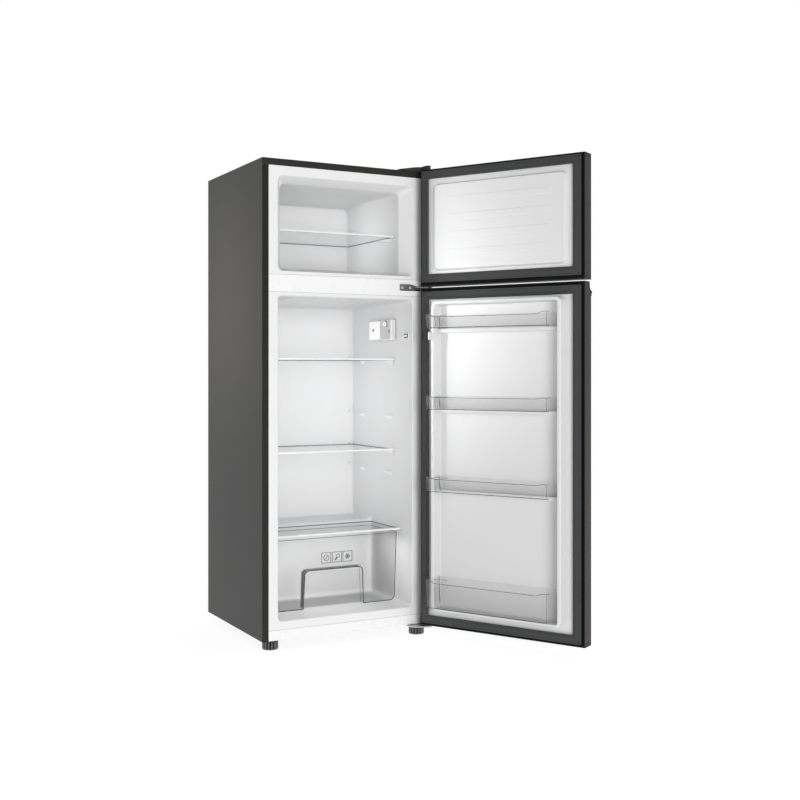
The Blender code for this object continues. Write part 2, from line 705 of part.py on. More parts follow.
def door_plan(half, front, back, radius=0.005):
    """Plan of a door cap: square behind, rounded at the two front corners."""
    points = [(half, back), (-half, back)]
    for side in (-1, 1):
        steps = range(4) if side < 0 else range(3, -1, -1)
        for step in steps:
            angle = math.radians(30 * step)
            points.append((side * (half - radius + radius * math.cos(angle)),
                           front + radius - radius * math.sin(angle)))
    return points


def door_bore(name, low, high, hinge):
    return turned(name, [(low, BORE_R), (high, BORE_R)], "z", (AXIS_X, AXIS_Y, 0.0), hinge,
                  count=16)


def door_cap(name, low, high, bore_low, bore_high, hinge):
    back = DOOR_IN - 0.0023
    cap = prism(name, door_plan(HALF_W, DOOR_OUT, back), "z", low, high, hinge, GRAPHITE_TRIM)
    cut(cap, door_bore(name + "_bore", bore_low, bore_high, hinge))
    return cap


def grip_cap(hinge):
    """Top of the lower door: the finger recess runs along its whole front."""
    low = FRIDGE_DOOR[1] - GRIP_DROP
    high = FRIDGE_DOOR[1]
    back = DOOR_IN - 0.0023
    outline = [(back, low), (back, high), (-0.0447, high), (-0.0462, high - 0.0015),
               (-0.0464, 1.0330), (-0.0475, 1.0275), (-0.0500, 1.0228), (-0.0535, 1.0200),
               (-0.0580, 1.0180), (-0.0612, 1.0172), (-0.0622, 1.0160), (-0.0622, 1.0125),
               (-0.0610, 1.0108), (DOOR_OUT, 1.0100), (DOOR_OUT, low)]
    cap = prism("fridge_door_cap_top", outline, "x", -HALF_W, HALF_W, hinge, GRAPHITE_TRIM)
    cut(cap, door_bore("fridge_door_cap_top_bore", high - 0.0110, high + 0.01, hinge))
    return cap


def gasket(name, low, high, hinge):
    """Magnetic seal: a flat frame with softened edges round the door's inside."""
    back = DOOR_IN + GAP
    face = -0.0012
    mid = (back + face) / 2
    rings = []
    for y, inset in ((back, 0.0020), (mid, 0.0), (face, 0.0015)):
        rings.append(upright(y, GASKET_OUT - inset, low + inset, high - inset, 0.004, 2))
    for y, inset in ((face, 0.0015), (mid, 0.0), (back, 0.0020)):
        wide = GASKET_OUT - GASKET_IN
        rings.append(upright(y, GASKET_IN + inset, low + wide - inset, high - wide + inset,
                             0.003, 2))
    bm = bmesh.new()
    verts = [[bm.verts.new(point) for point in ring] for ring in rings]
    count = len(verts[0])
    for index in range(len(verts)):
        near = verts[index]
        far = verts[(index + 1) % len(verts)]
        for step in range(count):
            after = (step + 1) % count
            bm.faces.new((near[step], near[after], far[after], far[step]))
    return from_bmesh(name, bm, hinge, GASKET_GREY)


def door_foam(name, low, high, hinge):
    half = HALF_W - SHEET - GAP
    front = DOOR_OUT + SHEET + GAP
    back = DOOR_IN - 0.0023 - SHEET - GAP
    return prism(name, door_plan(half, front, back, 0.004), "z", low, high, hinge, FOAM)


def door_liner_base(low, high):
    """Back and front rings of the flat rim that a door liner shows round its edge."""
    back = DOOR_IN - 0.0020
    return [upright(back, 0.2620, low, high, 0.002, 4), upright(DOOR_IN, 0.2620, low, high, 0.002, 4)]


def freezer_door(hinge):
    low, high = FREEZER_DOOR
    prism("freezer_door_shell", shell_outline(), "z", low + CAP + GAP, high - CAP - GAP, hinge,
          GRAPHITE)
    door_cap("freezer_door_cap_top", high - CAP, high, high - 0.0115, high + 0.01, hinge)
    door_cap("freezer_door_cap_bottom", low, low + CAP, low - 0.01, low + 0.0110, hinge)
    door_foam("freezer_door_foam", low + CAP + GAP, high - CAP - GAP, hinge)
    plug_low, plug_high = 1.0985, 1.3585
    rings = door_liner_base(FREEZER_GASKET[0] + 0.0020, FREEZER_GASKET[1] - 0.0030)
    rings += [upright(DOOR_IN, PLUG_HALF + 0.003, plug_low - 0.003, plug_high + 0.003, 0.016, 4),
              upright(-0.0025, PLUG_HALF, plug_low, plug_high, 0.015, 4),
              upright(0.0000, PLUG_HALF - 0.0010, plug_low + 0.001, plug_high - 0.001, 0.014, 4),
              upright(0.0010, PLUG_HALF - 0.0035, plug_low + 0.0035, plug_high - 0.0035, 0.012,
                      4)]
    liner = loft("freezer_door_liner", rings, hinge, WHITE_ABS)
    spans = []
    for index in range(4):
        middle = 1.309 - 0.0533 * index
        spans.append(((-0.1720, 0.0005, middle - 0.0092), (0.1720, 0.0019, middle + 0.0092)))
    ribs = boxes("freezer_door_liner_ribs", spans, hinge)
    fuse(liner, ribs)
    gasket("freezer_door_gasket", *FREEZER_GASKET, hinge)


def fridge_door(hinge):
    low, high = FRIDGE_DOOR
    top = high - GRIP_DROP
    prism("fridge_door_shell", shell_outline(), "z", low + CAP + GAP, top - GAP, hinge, GRAPHITE)
    grip_cap(hinge)
    door_cap("fridge_door_cap_bottom", low, low + CAP, low - 0.01, low + 0.0105, hinge)
    door_foam("fridge_door_foam", low + CAP + GAP, top - GAP, hinge)
    out_low, out_high = 0.0600, 1.0010
    in_low, in_high = 0.0680, 0.9900
    rings = door_liner_base(FRIDGE_GASKET[0] + 0.0025, FRIDGE_GASKET[1] - 0.0030)
    rings += [upright(DOOR_IN, DIKE_HALF + 0.0010, out_low - 0.001, out_high + 0.001, 0.018, 4),
              upright(DIKE_TOP - 0.0030, DIKE_HALF - 0.0005, out_low, out_high, 0.017, 4),
              upright(DIKE_TOP, DIKE_HALF - 0.0030, out_low + 0.003, out_high - 0.003, 0.015, 4),
              upright(DIKE_TOP, DIKE_IN + 0.0025, in_low - 0.0025, in_high + 0.0025, 0.008, 4),
              upright(DIKE_TOP - 0.0025, DIKE_IN + 0.0005, in_low - 0.0005, in_high + 0.0005,
                      0.007, 4),
              upright(-0.0040, DIKE_IN - 0.0005, in_low + 0.0005, in_high - 0.0005, 0.006, 4),
              upright(-0.0088, DIKE_IN - 0.0025, in_low + 0.0025, in_high - 0.0025, 0.005, 4),
              upright(DOOR_IN, DIKE_IN - 0.0075, in_low + 0.0075, in_high - 0.0075, 0.003, 4)]
    liner = loft("fridge_door_liner", rings, hinge, WHITE_ABS)
    spans = []
    for base, rim, end in BINS.values():
        ledge = base - GAP
        spans.append(((-DIKE_IN - 0.002, DOOR_IN - 0.001, ledge - 0.0110),
                      (DIKE_IN + 0.002, 0.0050, ledge)))
    spans = spans[:3]
    spans.append(((0.2125, DIKE_TOP - 0.002, 0.8830), (0.2160, 0.0400, 0.9060)))
    fuse(liner, boxes("fridge_door_liner_ledges", spans, hinge))
    gasket("fridge_door_gasket", *FRIDGE_GASKET, hinge)


def bin_ring(low, high, inset, lean):
    """Plan of a door bin with round front corners: low along its front, high at its ends."""
    half = BIN_HALF - inset - lean
    front = BIN_REACH - inset - lean
    radius = BIN_CORNER - inset
    right = [(half, BIN_BACK + inset, high)]
    for step in range(6):
        angle = math.radians(18 * step)
        right.append((half - radius + radius * math.cos(angle),
                      front - radius + radius * math.sin(angle), high))
    right.append((BIN_STEP[1], front, high))
    right.append((BIN_STEP[0], front, low))
    left = [(-x, y, level) for x, y, level in reversed(right)]
    return right + left


def door_bin(name, base, rim, end, hinge):
    """Clear bin that fills the space between the ridges of the lower door."""
    floor = base + BIN_WALL
    rings = [bin_ring(base, base, 0.0, BIN_LEAN),
             bin_ring(rim, end, 0.0, 0.0),
             bin_ring(rim, end, BIN_WALL, 0.0),
             bin_ring(floor, floor, BIN_WALL, BIN_LEAN)]
    return loft(name, rings, hinge, CLEAR, pivot=(0.0, 0.03, base))


# ---- inside pieces --------------------------------------------------------------------------
def glass_shelf(name, half, front, rear, top, cabinet):
    """Safety glass pane with a white front trim clipped over its edge."""
    middle = (0.0, (front + rear) / 2, top)
    low = top - GLASS
    box(name + "_glass", (-half, front + 0.0045, low), (half, rear, top), cabinet, PANE,
        pivot=middle)
    lip = front + 0.0110
    outline = [(front, low + 0.0004), (front + 0.0040, low + 0.0004), (front + 0.0040, top + GAP),
               (lip, top + GAP), (lip, top + 0.0012), (front, top + 0.0020)]
    prism(name + "_trim", outline, "x", -half, half, cabinet, WHITE_TRIM, pivot=middle)


def drawer_solid(name, inset, floor, top, cabinet, look=None, pivot=(0.0, 0.0, 0.0)):
    """Tapered drawer body with rounded corners."""
    half = DRAWER_HALF - inset
    front = DRAWER_FRONT + inset
    rear = DRAWER_REAR - inset
    rings = [flat(floor, -half + 0.0105, half - 0.0105, front + 0.003, rear - 0.003, 0.010),
             flat(floor + 0.006, -half + 0.0075, half - 0.0075, front + 0.001, rear - 0.001,
                  0.011),
             flat(top, -half, half, front, rear, 0.012)]
    return loft(name, rings, cabinet, look, pivot)


def crisper_drawer(cabinet):
    """Clear drawer with a finger pocket pressed into the foot of its front."""
    middle = (0.0, (DRAWER_FRONT + DRAWER_REAR) / 2, DRAWER_BASE)
    drawer = drawer_solid("crisper_drawer", 0.0, DRAWER_BASE, DRAWER_RIM, cabinet, CLEAR, middle)
    pockets = []
    for grow in (0.0, DRAWER_WALL):
        right = [(0.1022, 0.04), (0.0977, POCKET_TOP - 0.008), (0.0893, POCKET_TOP)]
        right = [(x + grow, z + (grow if z > 0.05 else 0.0)) for x, z in right]
        outline = [(POCKET_MID + x, z) for x, z in right]
        outline += [(POCKET_MID - x, z) for x, z in reversed(right)]
        pockets.append(prism("crisper_pocket_%d" % len(pockets), outline, "y",
                             DRAWER_FRONT - 0.02, DRAWER_FRONT + POCKET_DEEP + grow, cabinet))
    space = drawer_solid("crisper_space", DRAWER_WALL, DRAWER_BASE + DRAWER_WALL,
                         DRAWER_RIM + 0.004, cabinet)
    cut(space, pockets[1])
    cut(drawer, space)
    cut(drawer, pockets[0])
    return drawer


def build():
    clear_scene()
    cabinet = anchor("cabinet_place", CABINET_PLACE)
    side_panel("side_panel_left", -1, cabinet)
    side_panel("side_panel_right", 1, cabinet)
    top_cover(cabinet)
    back_panel(cabinet)
    base_plate(cabinet)
    bay_plate(cabinet)
    fridge_liner(cabinet)
    freezer_liner(cabinet)
    cabinet_foam(cabinet)
    front_beams(cabinet)
    thermostat(cabinet)
    door_switch(cabinet)
    machine_room(cabinet)
    levelling_foot("foot_left", (-0.238, 0.030), -GAP, cabinet)
    levelling_foot("foot_right", (0.238, 0.000), -0.0053, cabinet)
    rear_roller("roller_left", -1, cabinet)
    rear_roller("roller_right", 1, cabinet)
    top_hinge(cabinet)
    middle_hinge(cabinet)
    bottom_hinge(cabinet)
    axis = (AXIS_X, AXIS_Y, 0.0)
    freezer_door(anchor("freezer_door_axis", axis, cabinet, DOOR_OPEN))
    lower = anchor("fridge_door_axis", axis, cabinet, DOOR_OPEN)
    fridge_door(lower)
    for name, (base, rim, end) in BINS.items():
        door_bin(name, base, rim, end, lower)
    for name, top in SHELVES.items():
        glass_shelf("shelf_" + name, SHELF_HALF, SHELF_FRONT, SHELF_REAR, top, cabinet)
    glass_shelf("crisper_cover", SHELF_HALF, COVER_FRONT, COVER_REAR, COVER_Z, cabinet)
    glass_shelf("freezer_shelf", 0.1965, FREEZER_SHELF_FRONT, FREEZER_SHELF_REAR, FREEZER_SHELF_Z,
                cabinet)
    crisper_drawer(cabinet)


build()
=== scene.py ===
"""Top freezer refrigerator with its doors open: its looks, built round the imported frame.

Pieces are made in the cabinet's own axes (x to its right, y to its back, z up from the bottom of
the steel body) or in a closed door's axes, and TO_CABINET or TO_DOOR puts them in the frame.
"""
import json
import math

import bmesh
import bpy
from mathutils import Matrix, Vector

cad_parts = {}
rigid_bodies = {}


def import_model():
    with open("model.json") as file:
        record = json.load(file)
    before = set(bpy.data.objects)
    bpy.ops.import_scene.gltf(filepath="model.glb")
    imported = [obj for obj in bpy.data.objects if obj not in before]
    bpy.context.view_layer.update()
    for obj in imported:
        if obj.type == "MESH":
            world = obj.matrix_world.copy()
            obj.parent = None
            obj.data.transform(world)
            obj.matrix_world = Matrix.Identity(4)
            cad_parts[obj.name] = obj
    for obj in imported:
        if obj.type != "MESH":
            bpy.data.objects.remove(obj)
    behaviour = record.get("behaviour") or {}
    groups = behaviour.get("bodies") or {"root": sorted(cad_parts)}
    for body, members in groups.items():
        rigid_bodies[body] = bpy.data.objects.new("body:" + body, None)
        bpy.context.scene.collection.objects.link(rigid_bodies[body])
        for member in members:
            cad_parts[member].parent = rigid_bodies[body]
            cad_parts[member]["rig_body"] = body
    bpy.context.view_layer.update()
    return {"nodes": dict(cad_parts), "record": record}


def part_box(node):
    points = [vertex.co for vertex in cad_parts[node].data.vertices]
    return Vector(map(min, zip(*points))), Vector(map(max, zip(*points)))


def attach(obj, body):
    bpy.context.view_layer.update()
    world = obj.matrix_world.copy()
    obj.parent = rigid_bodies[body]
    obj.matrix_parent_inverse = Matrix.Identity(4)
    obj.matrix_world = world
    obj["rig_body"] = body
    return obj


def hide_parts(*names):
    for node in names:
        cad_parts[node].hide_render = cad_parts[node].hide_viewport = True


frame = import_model()
NODES = frame["nodes"]

# ---- where the cabinet and the open doors stand ----------------------------------------------
HALF_WIDTH = 0.275
OPEN_ANGLE = math.radians(118.0)
panel_low, panel_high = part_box("side_panel_left")
CABINET = Vector((panel_low[0] + HALF_WIDTH, panel_low[1], panel_low[2]))
AXIS = Vector((0.2615, -0.031, 0.0))
TO_CABINET = Matrix.Translation(CABINET)
TO_DOOR = (Matrix.Translation(CABINET + AXIS) @ Matrix.Rotation(OPEN_ANGLE, 4, "Z")
           @ Matrix.Translation(-AXIS))


def span(node, place=TO_CABINET):
    """Lowest and highest corner of a CAD node, in the cabinet's or a door's own axes."""
    back = place.inverted()
    points = [back @ vert.co for vert in NODES[node].data.vertices]
    low = Vector([min(point[i] for point in points) for i in range(3)])
    high = Vector([max(point[i] for point in points) for i in range(3)])
    return low, high


# ---- shader helpers --------------------------------------------------------------------------
def material(name, colour, rough, metal=0.0, coat=0.0, coat_rough=0.1, specular=0.5, alpha=1.0,
             glow=0.0):
    mat = bpy.data.materials.new(name)
    mat.use_nodes = True
    shader = mat.node_tree.nodes["Principled BSDF"]
    shader.inputs["Base Color"].default_value = (*colour, 1.0)
    shader.inputs["Roughness"].default_value = rough
    shader.inputs["Metallic"].default_value = metal
    shader.inputs["Coat Weight"].default_value = coat
    shader.inputs["Coat Roughness"].default_value = coat_rough
    shader.inputs["Specular IOR Level"].default_value = specular
    shader.inputs["Alpha"].default_value = alpha
    shader.inputs["Emission Color"].default_value = (*colour, 1.0)
    shader.inputs["Emission Strength"].default_value = glow
    return mat


NOISE_LOW, NOISE_HIGH = 0.3, 0.7  # nearly all of a noise texture lies between these


def texture(mat, scale, detail, stretch=(1.0, 1.0, 1.0)):
    """Noise in object space."""
    nodes, links = mat.node_tree.nodes, mat.node_tree.links
    place = nodes.new("ShaderNodeTexCoord")
    mapping = nodes.new("ShaderNodeMapping")
    mapping.inputs["Scale"].default_value = stretch
    noise = nodes.new("ShaderNodeTexNoise")
    noise.inputs["Scale"].default_value = scale
    noise.inputs["Detail"].default_value = detail
    links.new(place.outputs["Object"], mapping.inputs["Vector"])
    links.new(mapping.outputs["Vector"], noise.inputs["Vector"])
    return noise.outputs["Fac"]


def vary(mat, socket, source, low, high):
    """Drive a shader value between two limits."""
    nodes, links = mat.node_tree.nodes, mat.node_tree.links
    spread = nodes.new("ShaderNodeMapRange")
    spread.inputs["From Min"].default_value = NOISE_LOW
    spread.inputs["From Max"].default_value = NOISE_HIGH
    spread.inputs["To Min"].default_value = low
    spread.inputs["To Max"].default_value = high
    links.new(source, spread.inputs["Value"])
    links.new(spread.outputs["Result"], nodes["Principled BSDF"].inputs[socket])


def tint(mat, source, first, second):
    """Blend the base colour between two tones."""
    nodes, links = mat.node_tree.nodes, mat.node_tree.links
    ramp = nodes.new("ShaderNodeValToRGB")
    ramp.color_ramp.elements[0].position = NOISE_LOW
    ramp.color_ramp.elements[0].color = (*first, 1.0)
    ramp.color_ramp.elements[1].position = NOISE_HIGH
    ramp.color_ramp.elements[1].color = (*second, 1.0)
    links.new(source, ramp.inputs["Fac"])
    links.new(ramp.outputs["Color"], nodes["Principled BSDF"].inputs["Base Color"])


def bump(mat, source, strength, distance):
    nodes, links = mat.node_tree.nodes, mat.node_tree.links
    node = nodes.new("ShaderNodeBump")
    node.inputs["Strength"].default_value = strength
    node.inputs["Distance"].default_value = distance
    links.new(source, node.inputs["Height"])
    links.new(node.outputs["Normal"], nodes["Principled BSDF"].inputs["Normal"])


# ---- materials -------------------------------------------------------------------------------
def shade(colour, amount):
    return tuple(value * amount for value in colour)


def painted_steel(name, colour):
    """Graphite pre-coated steel: fine pebble, faint clouds in its tone."""
    mat = material(name, colour, 0.46, metal=0.30, coat=0.05, coat_rough=0.3, specular=0.25)
    tint(mat, texture(mat, 2.4, 3.0), shade(colour, 0.94), shade(colour, 1.07))
    vary(mat, "Roughness", texture(mat, 700.0, 2.0), 0.36, 0.50)
    bump(mat, texture(mat, 1500.0, 2.0), 0.12, 0.0004)
    return mat


def moulded(name, colour, rough, grain=0.08, specular=0.5):
    """Matt moulded plastic with a spark-eroded grain."""
    mat = material(name, colour, rough, specular=specular)
    tint(mat, texture(mat, 9.0, 3.0), shade(colour, 0.95), shade(colour, 1.05))
    vary(mat, "Roughness", texture(mat, 420.0, 3.0), rough * 0.85, rough * 1.15)
    bump(mat, texture(mat, 1900.0, 2.0), grain, 0.0004)
    return mat


def glossy_white(name, colour, rough, glow=0.0):
    """Vacuum-formed white sheet: glossy, with a faint orange peel."""
    mat = material(name, colour, rough, coat=0.12, coat_rough=0.06, glow=glow)
    tint(mat, texture(mat, 3.0, 2.0), shade(colour, 0.99), colour)
    vary(mat, "Roughness", texture(mat, 18.0, 3.0), rough * 0.9, rough * 1.15)
    bump(mat, texture(mat, 60.0, 1.0), 0.004, 0.0005)
    return mat


def clear(name, colour, rough, alpha, specular=0.5):
    """See-through plastic or glass with faint flow marks."""
    mat = material(name, colour, rough, alpha=alpha, specular=specular)
    vary(mat, "Roughness", texture(mat, 25.0, 2.0), rough * 0.7, rough * 1.6)
    bump(mat, texture(mat, 14.0, 2.0), 0.02, 0.0008)
    return mat


def plated(name, colour, rough, stretch=(1.0, 1.0, 14.0)):
    """Bare or plated metal with rolling marks."""
    mat = material(name, colour, rough, metal=1.0)
    tint(mat, texture(mat, 40.0, 3.0, stretch), shade(colour, 0.86), shade(colour, 1.08))
    vary(mat, "Roughness", texture(mat, 90.0, 4.0, stretch), rough * 0.75, rough * 1.35)
    bump(mat, texture(mat, 260.0, 3.0, stretch), 0.05, 0.0003)
    return mat


def mottled(name, colour, rough):
    """Polyurethane foam or a cast surface."""
    mat = material(name, colour, rough)
    tint(mat, texture(mat, 120.0, 5.0), shade(colour, 0.8), shade(colour, 1.1))
    bump(mat, texture(mat, 240.0, 5.0), 0.4, 0.0010)
    return mat


STEEL = painted_steel("graphite_steel", (0.021, 0.020, 0.019))
BACK = painted_steel("back_paint", (0.050, 0.048, 0.046))
DARK = moulded("dark_trim", (0.030, 0.029, 0.028), 0.50)
# Dark plastic, made near black as painted shade for the doors' unlit undersides.
DARK_CAP_AND_SHADE = moulded("door_cap_plastic_and_shade", (0.014, 0.014, 0.014), 0.55, specular=0.35)
WHITE = glossy_white("white_liner", (0.735, 0.735, 0.74), 0.34)
# A darker copy of the liner white: painted shade on the door liners.
DOOR_WHITE_SHADED = glossy_white("door_liner_white_shaded", (0.655, 0.655, 0.66), 0.36)
CHEEK = glossy_white("thermostat_cheek", (0.62, 0.62, 0.62), 0.40)
TRIM = glossy_white("white_trim", (0.79, 0.79, 0.79), 0.28)
LENS = glossy_white("lamp_lens", (0.95, 0.95, 0.94), 0.35, glow=0.12)
GASKET = moulded("gasket_vinyl", (0.042, 0.043, 0.044), 0.58, 0.05, 0.4)
# Near-black painted shade and shadow for slots, gaps, grooves and creases, and painted dark
# reflection on the door skins.
SEAM_SHADE = moulded("seam_shadow", (0.006, 0.006, 0.006), 0.8, 0.02, 0.1)
# Grey painted shade for joints between white parts and for slots in them.
JOINT_SHADE = moulded("grey_joint_shade", (0.42, 0.42, 0.42), 0.6, 0.02, 0.2)
CLEAR = clear("clear_plastic", (0.75, 0.755, 0.76), 0.07, 0.022)
BIN = clear("bin_plastic", (0.42, 0.42, 0.425), 0.07, 0.052)
# Grey and black lines of painted shade, and white lines of painted highlight, along the edges of
# clear plastic.
CLEAR_EDGE_SHADE = clear("clear_plastic_edge_shade", (0.24, 0.24, 0.245), 0.12, 0.50)
CLEAR_DARK_EDGE_SHADE = clear("clear_plastic_dark_edge_shade", (0.020, 0.020, 0.020), 0.20, 0.93)
CLEAR_EDGE_HIGHLIGHT = clear("clear_plastic_edge_highlight", (0.92, 0.92, 0.92), 0.12, 0.80)
PANE = clear("shelf_glass", (0.62, 0.65, 0.645), 0.03, 0.12)
PANE_EDGE = clear("shelf_glass_edge", (0.16, 0.19, 0.185), 0.10, 0.80)
PRINT = moulded("grey_print", (0.030, 0.030, 0.030), 0.6, 0.02)
BRIGHT = plated("bright_screws", (0.92, 0.92, 0.92), 0.45, (1.0, 1.0, 1.0))
# Lighter steel: painted highlight on the bends of the door skins.
BEND_HIGHLIGHT = painted_steel("steel_bend_highlight", (0.16, 0.16, 0.158))
ZINC = plated("zinc_plate", (0.55, 0.55, 0.54), 0.34)
HINGE = plated("hinge_steel", (0.42, 0.42, 0.415), 0.34, (14.0, 1.0, 1.0))
GREY = moulded("grey_plastic", (0.52, 0.52, 0.52), 0.50)
FOOT = moulded("foot_plastic", (0.11, 0.11, 0.108), 0.50)
BLACK = moulded("black_plastic", (0.016, 0.016, 0.016), 0.45)
RUBBER = moulded("black_rubber", (0.014, 0.014, 0.014), 0.80, 0.2)
PAINT = moulded("black_enamel", (0.012, 0.012, 0.012), 0.22, 0.03)
COPPER = plated("copper_pipe", (0.72, 0.42, 0.28), 0.28, (8.0, 8.0, 1.0))
FOAM = mottled("yellow_foam", (0.80, 0.70, 0.45), 0.95)
DARK_STEEL = painted_steel("top_steel", (0.030, 0.030, 0.029))
PLATE = moulded("control_plate", (0.60, 0.60, 0.60), 0.45, 0.04)
SLOTS = {"steel_skin": STEEL, "steel_back": BACK, "black_steel": PAINT, "zinc_plate": ZINC,
         "hinge_steel": HINGE, "copper": COPPER, "white_liner": WHITE, "white_trim": TRIM,
         "foam": FOAM, "dark_plastic": DARK, "grey_plastic": GREY, "black_plastic": BLACK,
         "black_rubber": RUBBER, "gasket": GASKET, "clear_plastic": CLEAR, "shelf_glass": PANE}


# ---- mesh helpers ----------------------------------------------------------------------------
def merge(bm, part, mat):
    """Add a finished part to a piece's mesh, in one of the piece's materials."""
    bmesh.ops.recalc_face_normals(part, faces=part.faces[:])
    for face in part.faces:
        face.material_index = mat
    mesh = bpy.data.meshes.new("part")
    part.to_mesh(mesh)
    part.free()
    bm.from_mesh(mesh)
    bpy.data.meshes.remove(mesh)


def skin(bm, rings, mat=0, loop=False):
    """Faces between rings of equal count: closed with end faces, or joined up into a loop."""
    part = bmesh.new()
    verts = [[part.verts.new(point) for point in ring] for ring in rings]
    count = len(verts[0])
    pairs = list(zip(verts, verts[1:]))
    if loop:
        pairs.append((verts[-1], verts[0]))
    for near, far in pairs:
        for index in range(count):
            after = (index + 1) % count
            part.faces.new((near[index], near[after], far[after], far[index]))
    if not loop:
        part.faces.new(verts[0])
        part.faces.new(list(reversed(verts[-1])))
    merge(bm, part, mat)


def block(bm, low, high, radius=0.0, mat=0, steps=2):
    """Box, with rounded edges where a radius is given."""
    part = bmesh.new()
    middle = (Vector(low) + Vector(high)) / 2
    size = Vector(high) - Vector(low)
    place = Matrix.Translation(middle) @ Matrix.Diagonal((*size, 1.0))
    bmesh.ops.create_cube(part, size=1.0, matrix=place)
    if radius:
        bmesh.ops.bevel(part, geom=part.edges[:], offset=radius, segments=steps, profile=0.5,
                        affect="EDGES", clamp_overlap=True)
    merge(bm, part, mat)


def circle(radius, count, middle=(0.0, 0.0)):
    """Points evenly round a circle, as pairs."""
    angles = [2 * math.pi * step / count for step in range(count)]
    return [(middle[0] + radius * math.cos(angle), middle[1] + radius * math.sin(angle))
            for angle in angles]


def tube(bm, path, radius, mat=0, sides=8, loop=False):
    """Round bead along a path."""
    points = [Vector(point) for point in path]
    count = len(points)
    rings = []
    side = None
    for index, point in enumerate(points):
        before = points[index - 1] if index or loop else None
        after = points[(index + 1) % count] if index < count - 1 or loop else None
        coming = (point - before).normalized() if before is not None else None
        going = (after - point).normalized() if after is not None else coming
        coming = going if coming is None else coming
        heading = (coming + going).normalized()
        side = heading.orthogonal() if side is None else side - heading * side.dot(heading)
        side.normalize()
        up = heading.cross(side)
        wide = radius / max(0.5, heading.dot(going))
        rings.append([point + wide * (side * a + up * b) for a, b in circle(1.0, sides)])
    skin(bm, rings, mat, loop)


def lathe(bm, stations, axis, place, mat=0, count=32):
    """Body of revolution from (distance along the axis, radius) stations."""
    order = {"x": (1, 2), "y": (2, 0), "z": (0, 1)}[axis]
    along = "xyz".index(axis)
    rings = []
    for distance, radius in stations:
        ring = []
        for first, second in circle(radius, count):
            point = list(place)
            point[along] += distance
            point[order[0]] += first
            point[order[1]] += second
            ring.append(point)
        rings.append(ring)
    skin(bm, rings, mat)


def prism(bm, outline, axis, low, high, mat=0):
    """An outline across an axis, drawn out along it."""
    order = {"x": (1, 2), "y": (0, 2), "z": (0, 1)}[axis]
    along = "xyz".index(axis)
    rings = []
    for level in (low, high):
        ring = []
        for first, second in outline:
            point = [0.0, 0.0, 0.0]
            point[order[0]], point[order[1]], point[along] = first, second, level
            ring.append(point)
        rings.append(ring)
    skin(bm, rings, mat)


def rounded(low_a, high_a, low_b, high_b, radius, steps=5):
    """Corner points of a rounded rectangle, as pairs."""
    points = []
    corners = ((high_a - radius, high_b - radius, 0), (low_a + radius, high_b - radius, 90),
               (low_a + radius, low_b + radius, 180), (high_a - radius, low_b + radius, 270))
    for mid_a, mid_b, start in corners:
        for step in range(steps + 1):
            angle = math.radians(start + 90 * step / steps)
            points.append((mid_a + radius * math.cos(angle), mid_b + radius * math.sin(angle)))
    return points


def settle(obj):
    """Replace an object's mesh by what its modifiers make of it."""
    bpy.context.view_layer.update()
    seen = obj.evaluated_get(bpy.context.evaluated_depsgraph_get())
    fine = bpy.data.meshes.new_from_object(seen)
    obj.modifiers.clear()
    obj.data = fine


def finish_mesh(obj, sharp):
    """Smooth shading whose normals follow the large faces, with creases kept."""
    obj.data.shade_smooth()
    obj.data.set_sharp_from_angle(angle=math.radians(sharp))
    weighting = obj.modifiers.new("weighting", "WEIGHTED_NORMAL")
    weighting.mode = "FACE_AREA"
    weighting.weight = 50
    weighting.keep_sharp = True
    settle(obj)


def piece(name, bm, looks, body, place=TO_CABINET, stands_for=(), sharp=35.0):
    """A finished piece that rides on a CAD body and may stand for CAD nodes."""
    mesh = bpy.data.meshes.new(name)
    bm.to_mesh(mesh)
    bm.free()
    for look in looks:
        mesh.materials.append(look)
    obj = bpy.data.objects.new(name, mesh)
    bpy.context.scene.collection.objects.link(obj)
    finish_mesh(obj, sharp)
    obj.matrix_world = place
    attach(obj, body)
    if stands_for:
        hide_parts(*stands_for)


def refine(node, look, radius=0.0005, steps=2, sharp=35.0):
    """A copy of a CAD node with its edges rounded and its curves smooth."""
    source = NODES[node]
    bm = bmesh.new()
    bm.from_mesh(source.data)
    bmesh.ops.remove_doubles(bm, verts=bm.verts[:], dist=0.00002)
    bmesh.ops.dissolve_limit(bm, angle_limit=math.radians(0.5), verts=bm.verts[:],
                             edges=bm.edges[:])
    for face in bm.faces:
        face.material_index = 0
    mesh = bpy.data.meshes.new(node + "_fine")
    bm.to_mesh(mesh)
    bm.free()
    obj = bpy.data.objects.new(node + "_fine", mesh)
    bpy.context.scene.collection.objects.link(obj)
    if radius:
        rounding = obj.modifiers.new("rounding", "BEVEL")
        rounding.limit_method = "ANGLE"
        rounding.angle_limit = math.radians(30)
        rounding.width = radius
        rounding.segments = steps
        rounding.use_clamp_overlap = True
        settle(obj)
    obj.data.materials.clear()
    obj.data.materials.append(look)
    finish_mesh(obj, sharp)
    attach(obj, source["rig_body"])
    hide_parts(node)


def screw(bm, centre, axis, radius, high, mat=0):
    """Pan head screw with a cross recess, standing high along an axis."""
    side = 1 if high > 0 else -1
    lift = abs(high)
    lathe(bm, [(0.0, radius), (side * lift * 0.45, radius), (side * lift * 0.8, radius * 0.85),
               (side * lift, radius * 0.45)], axis, centre, mat, 20)
    along = "xyz".index(axis)
    for cross in range(2):
        low, top = list(centre), list(centre)
        for index in range(3):
            if index == along:
                low[index] += side * lift * 0.86
                top[index] += side * lift * 1.04
            else:
                long = (index == (along + 1 + cross) % 3)
                reach = radius * (0.42 if long else 0.11)
                low[index] -= reach
                top[index] += reach
        block(bm, [min(a, b) for a, b in zip(low, top)], [max(a, b) for a, b in zip(low, top)],
              0.0, mat)


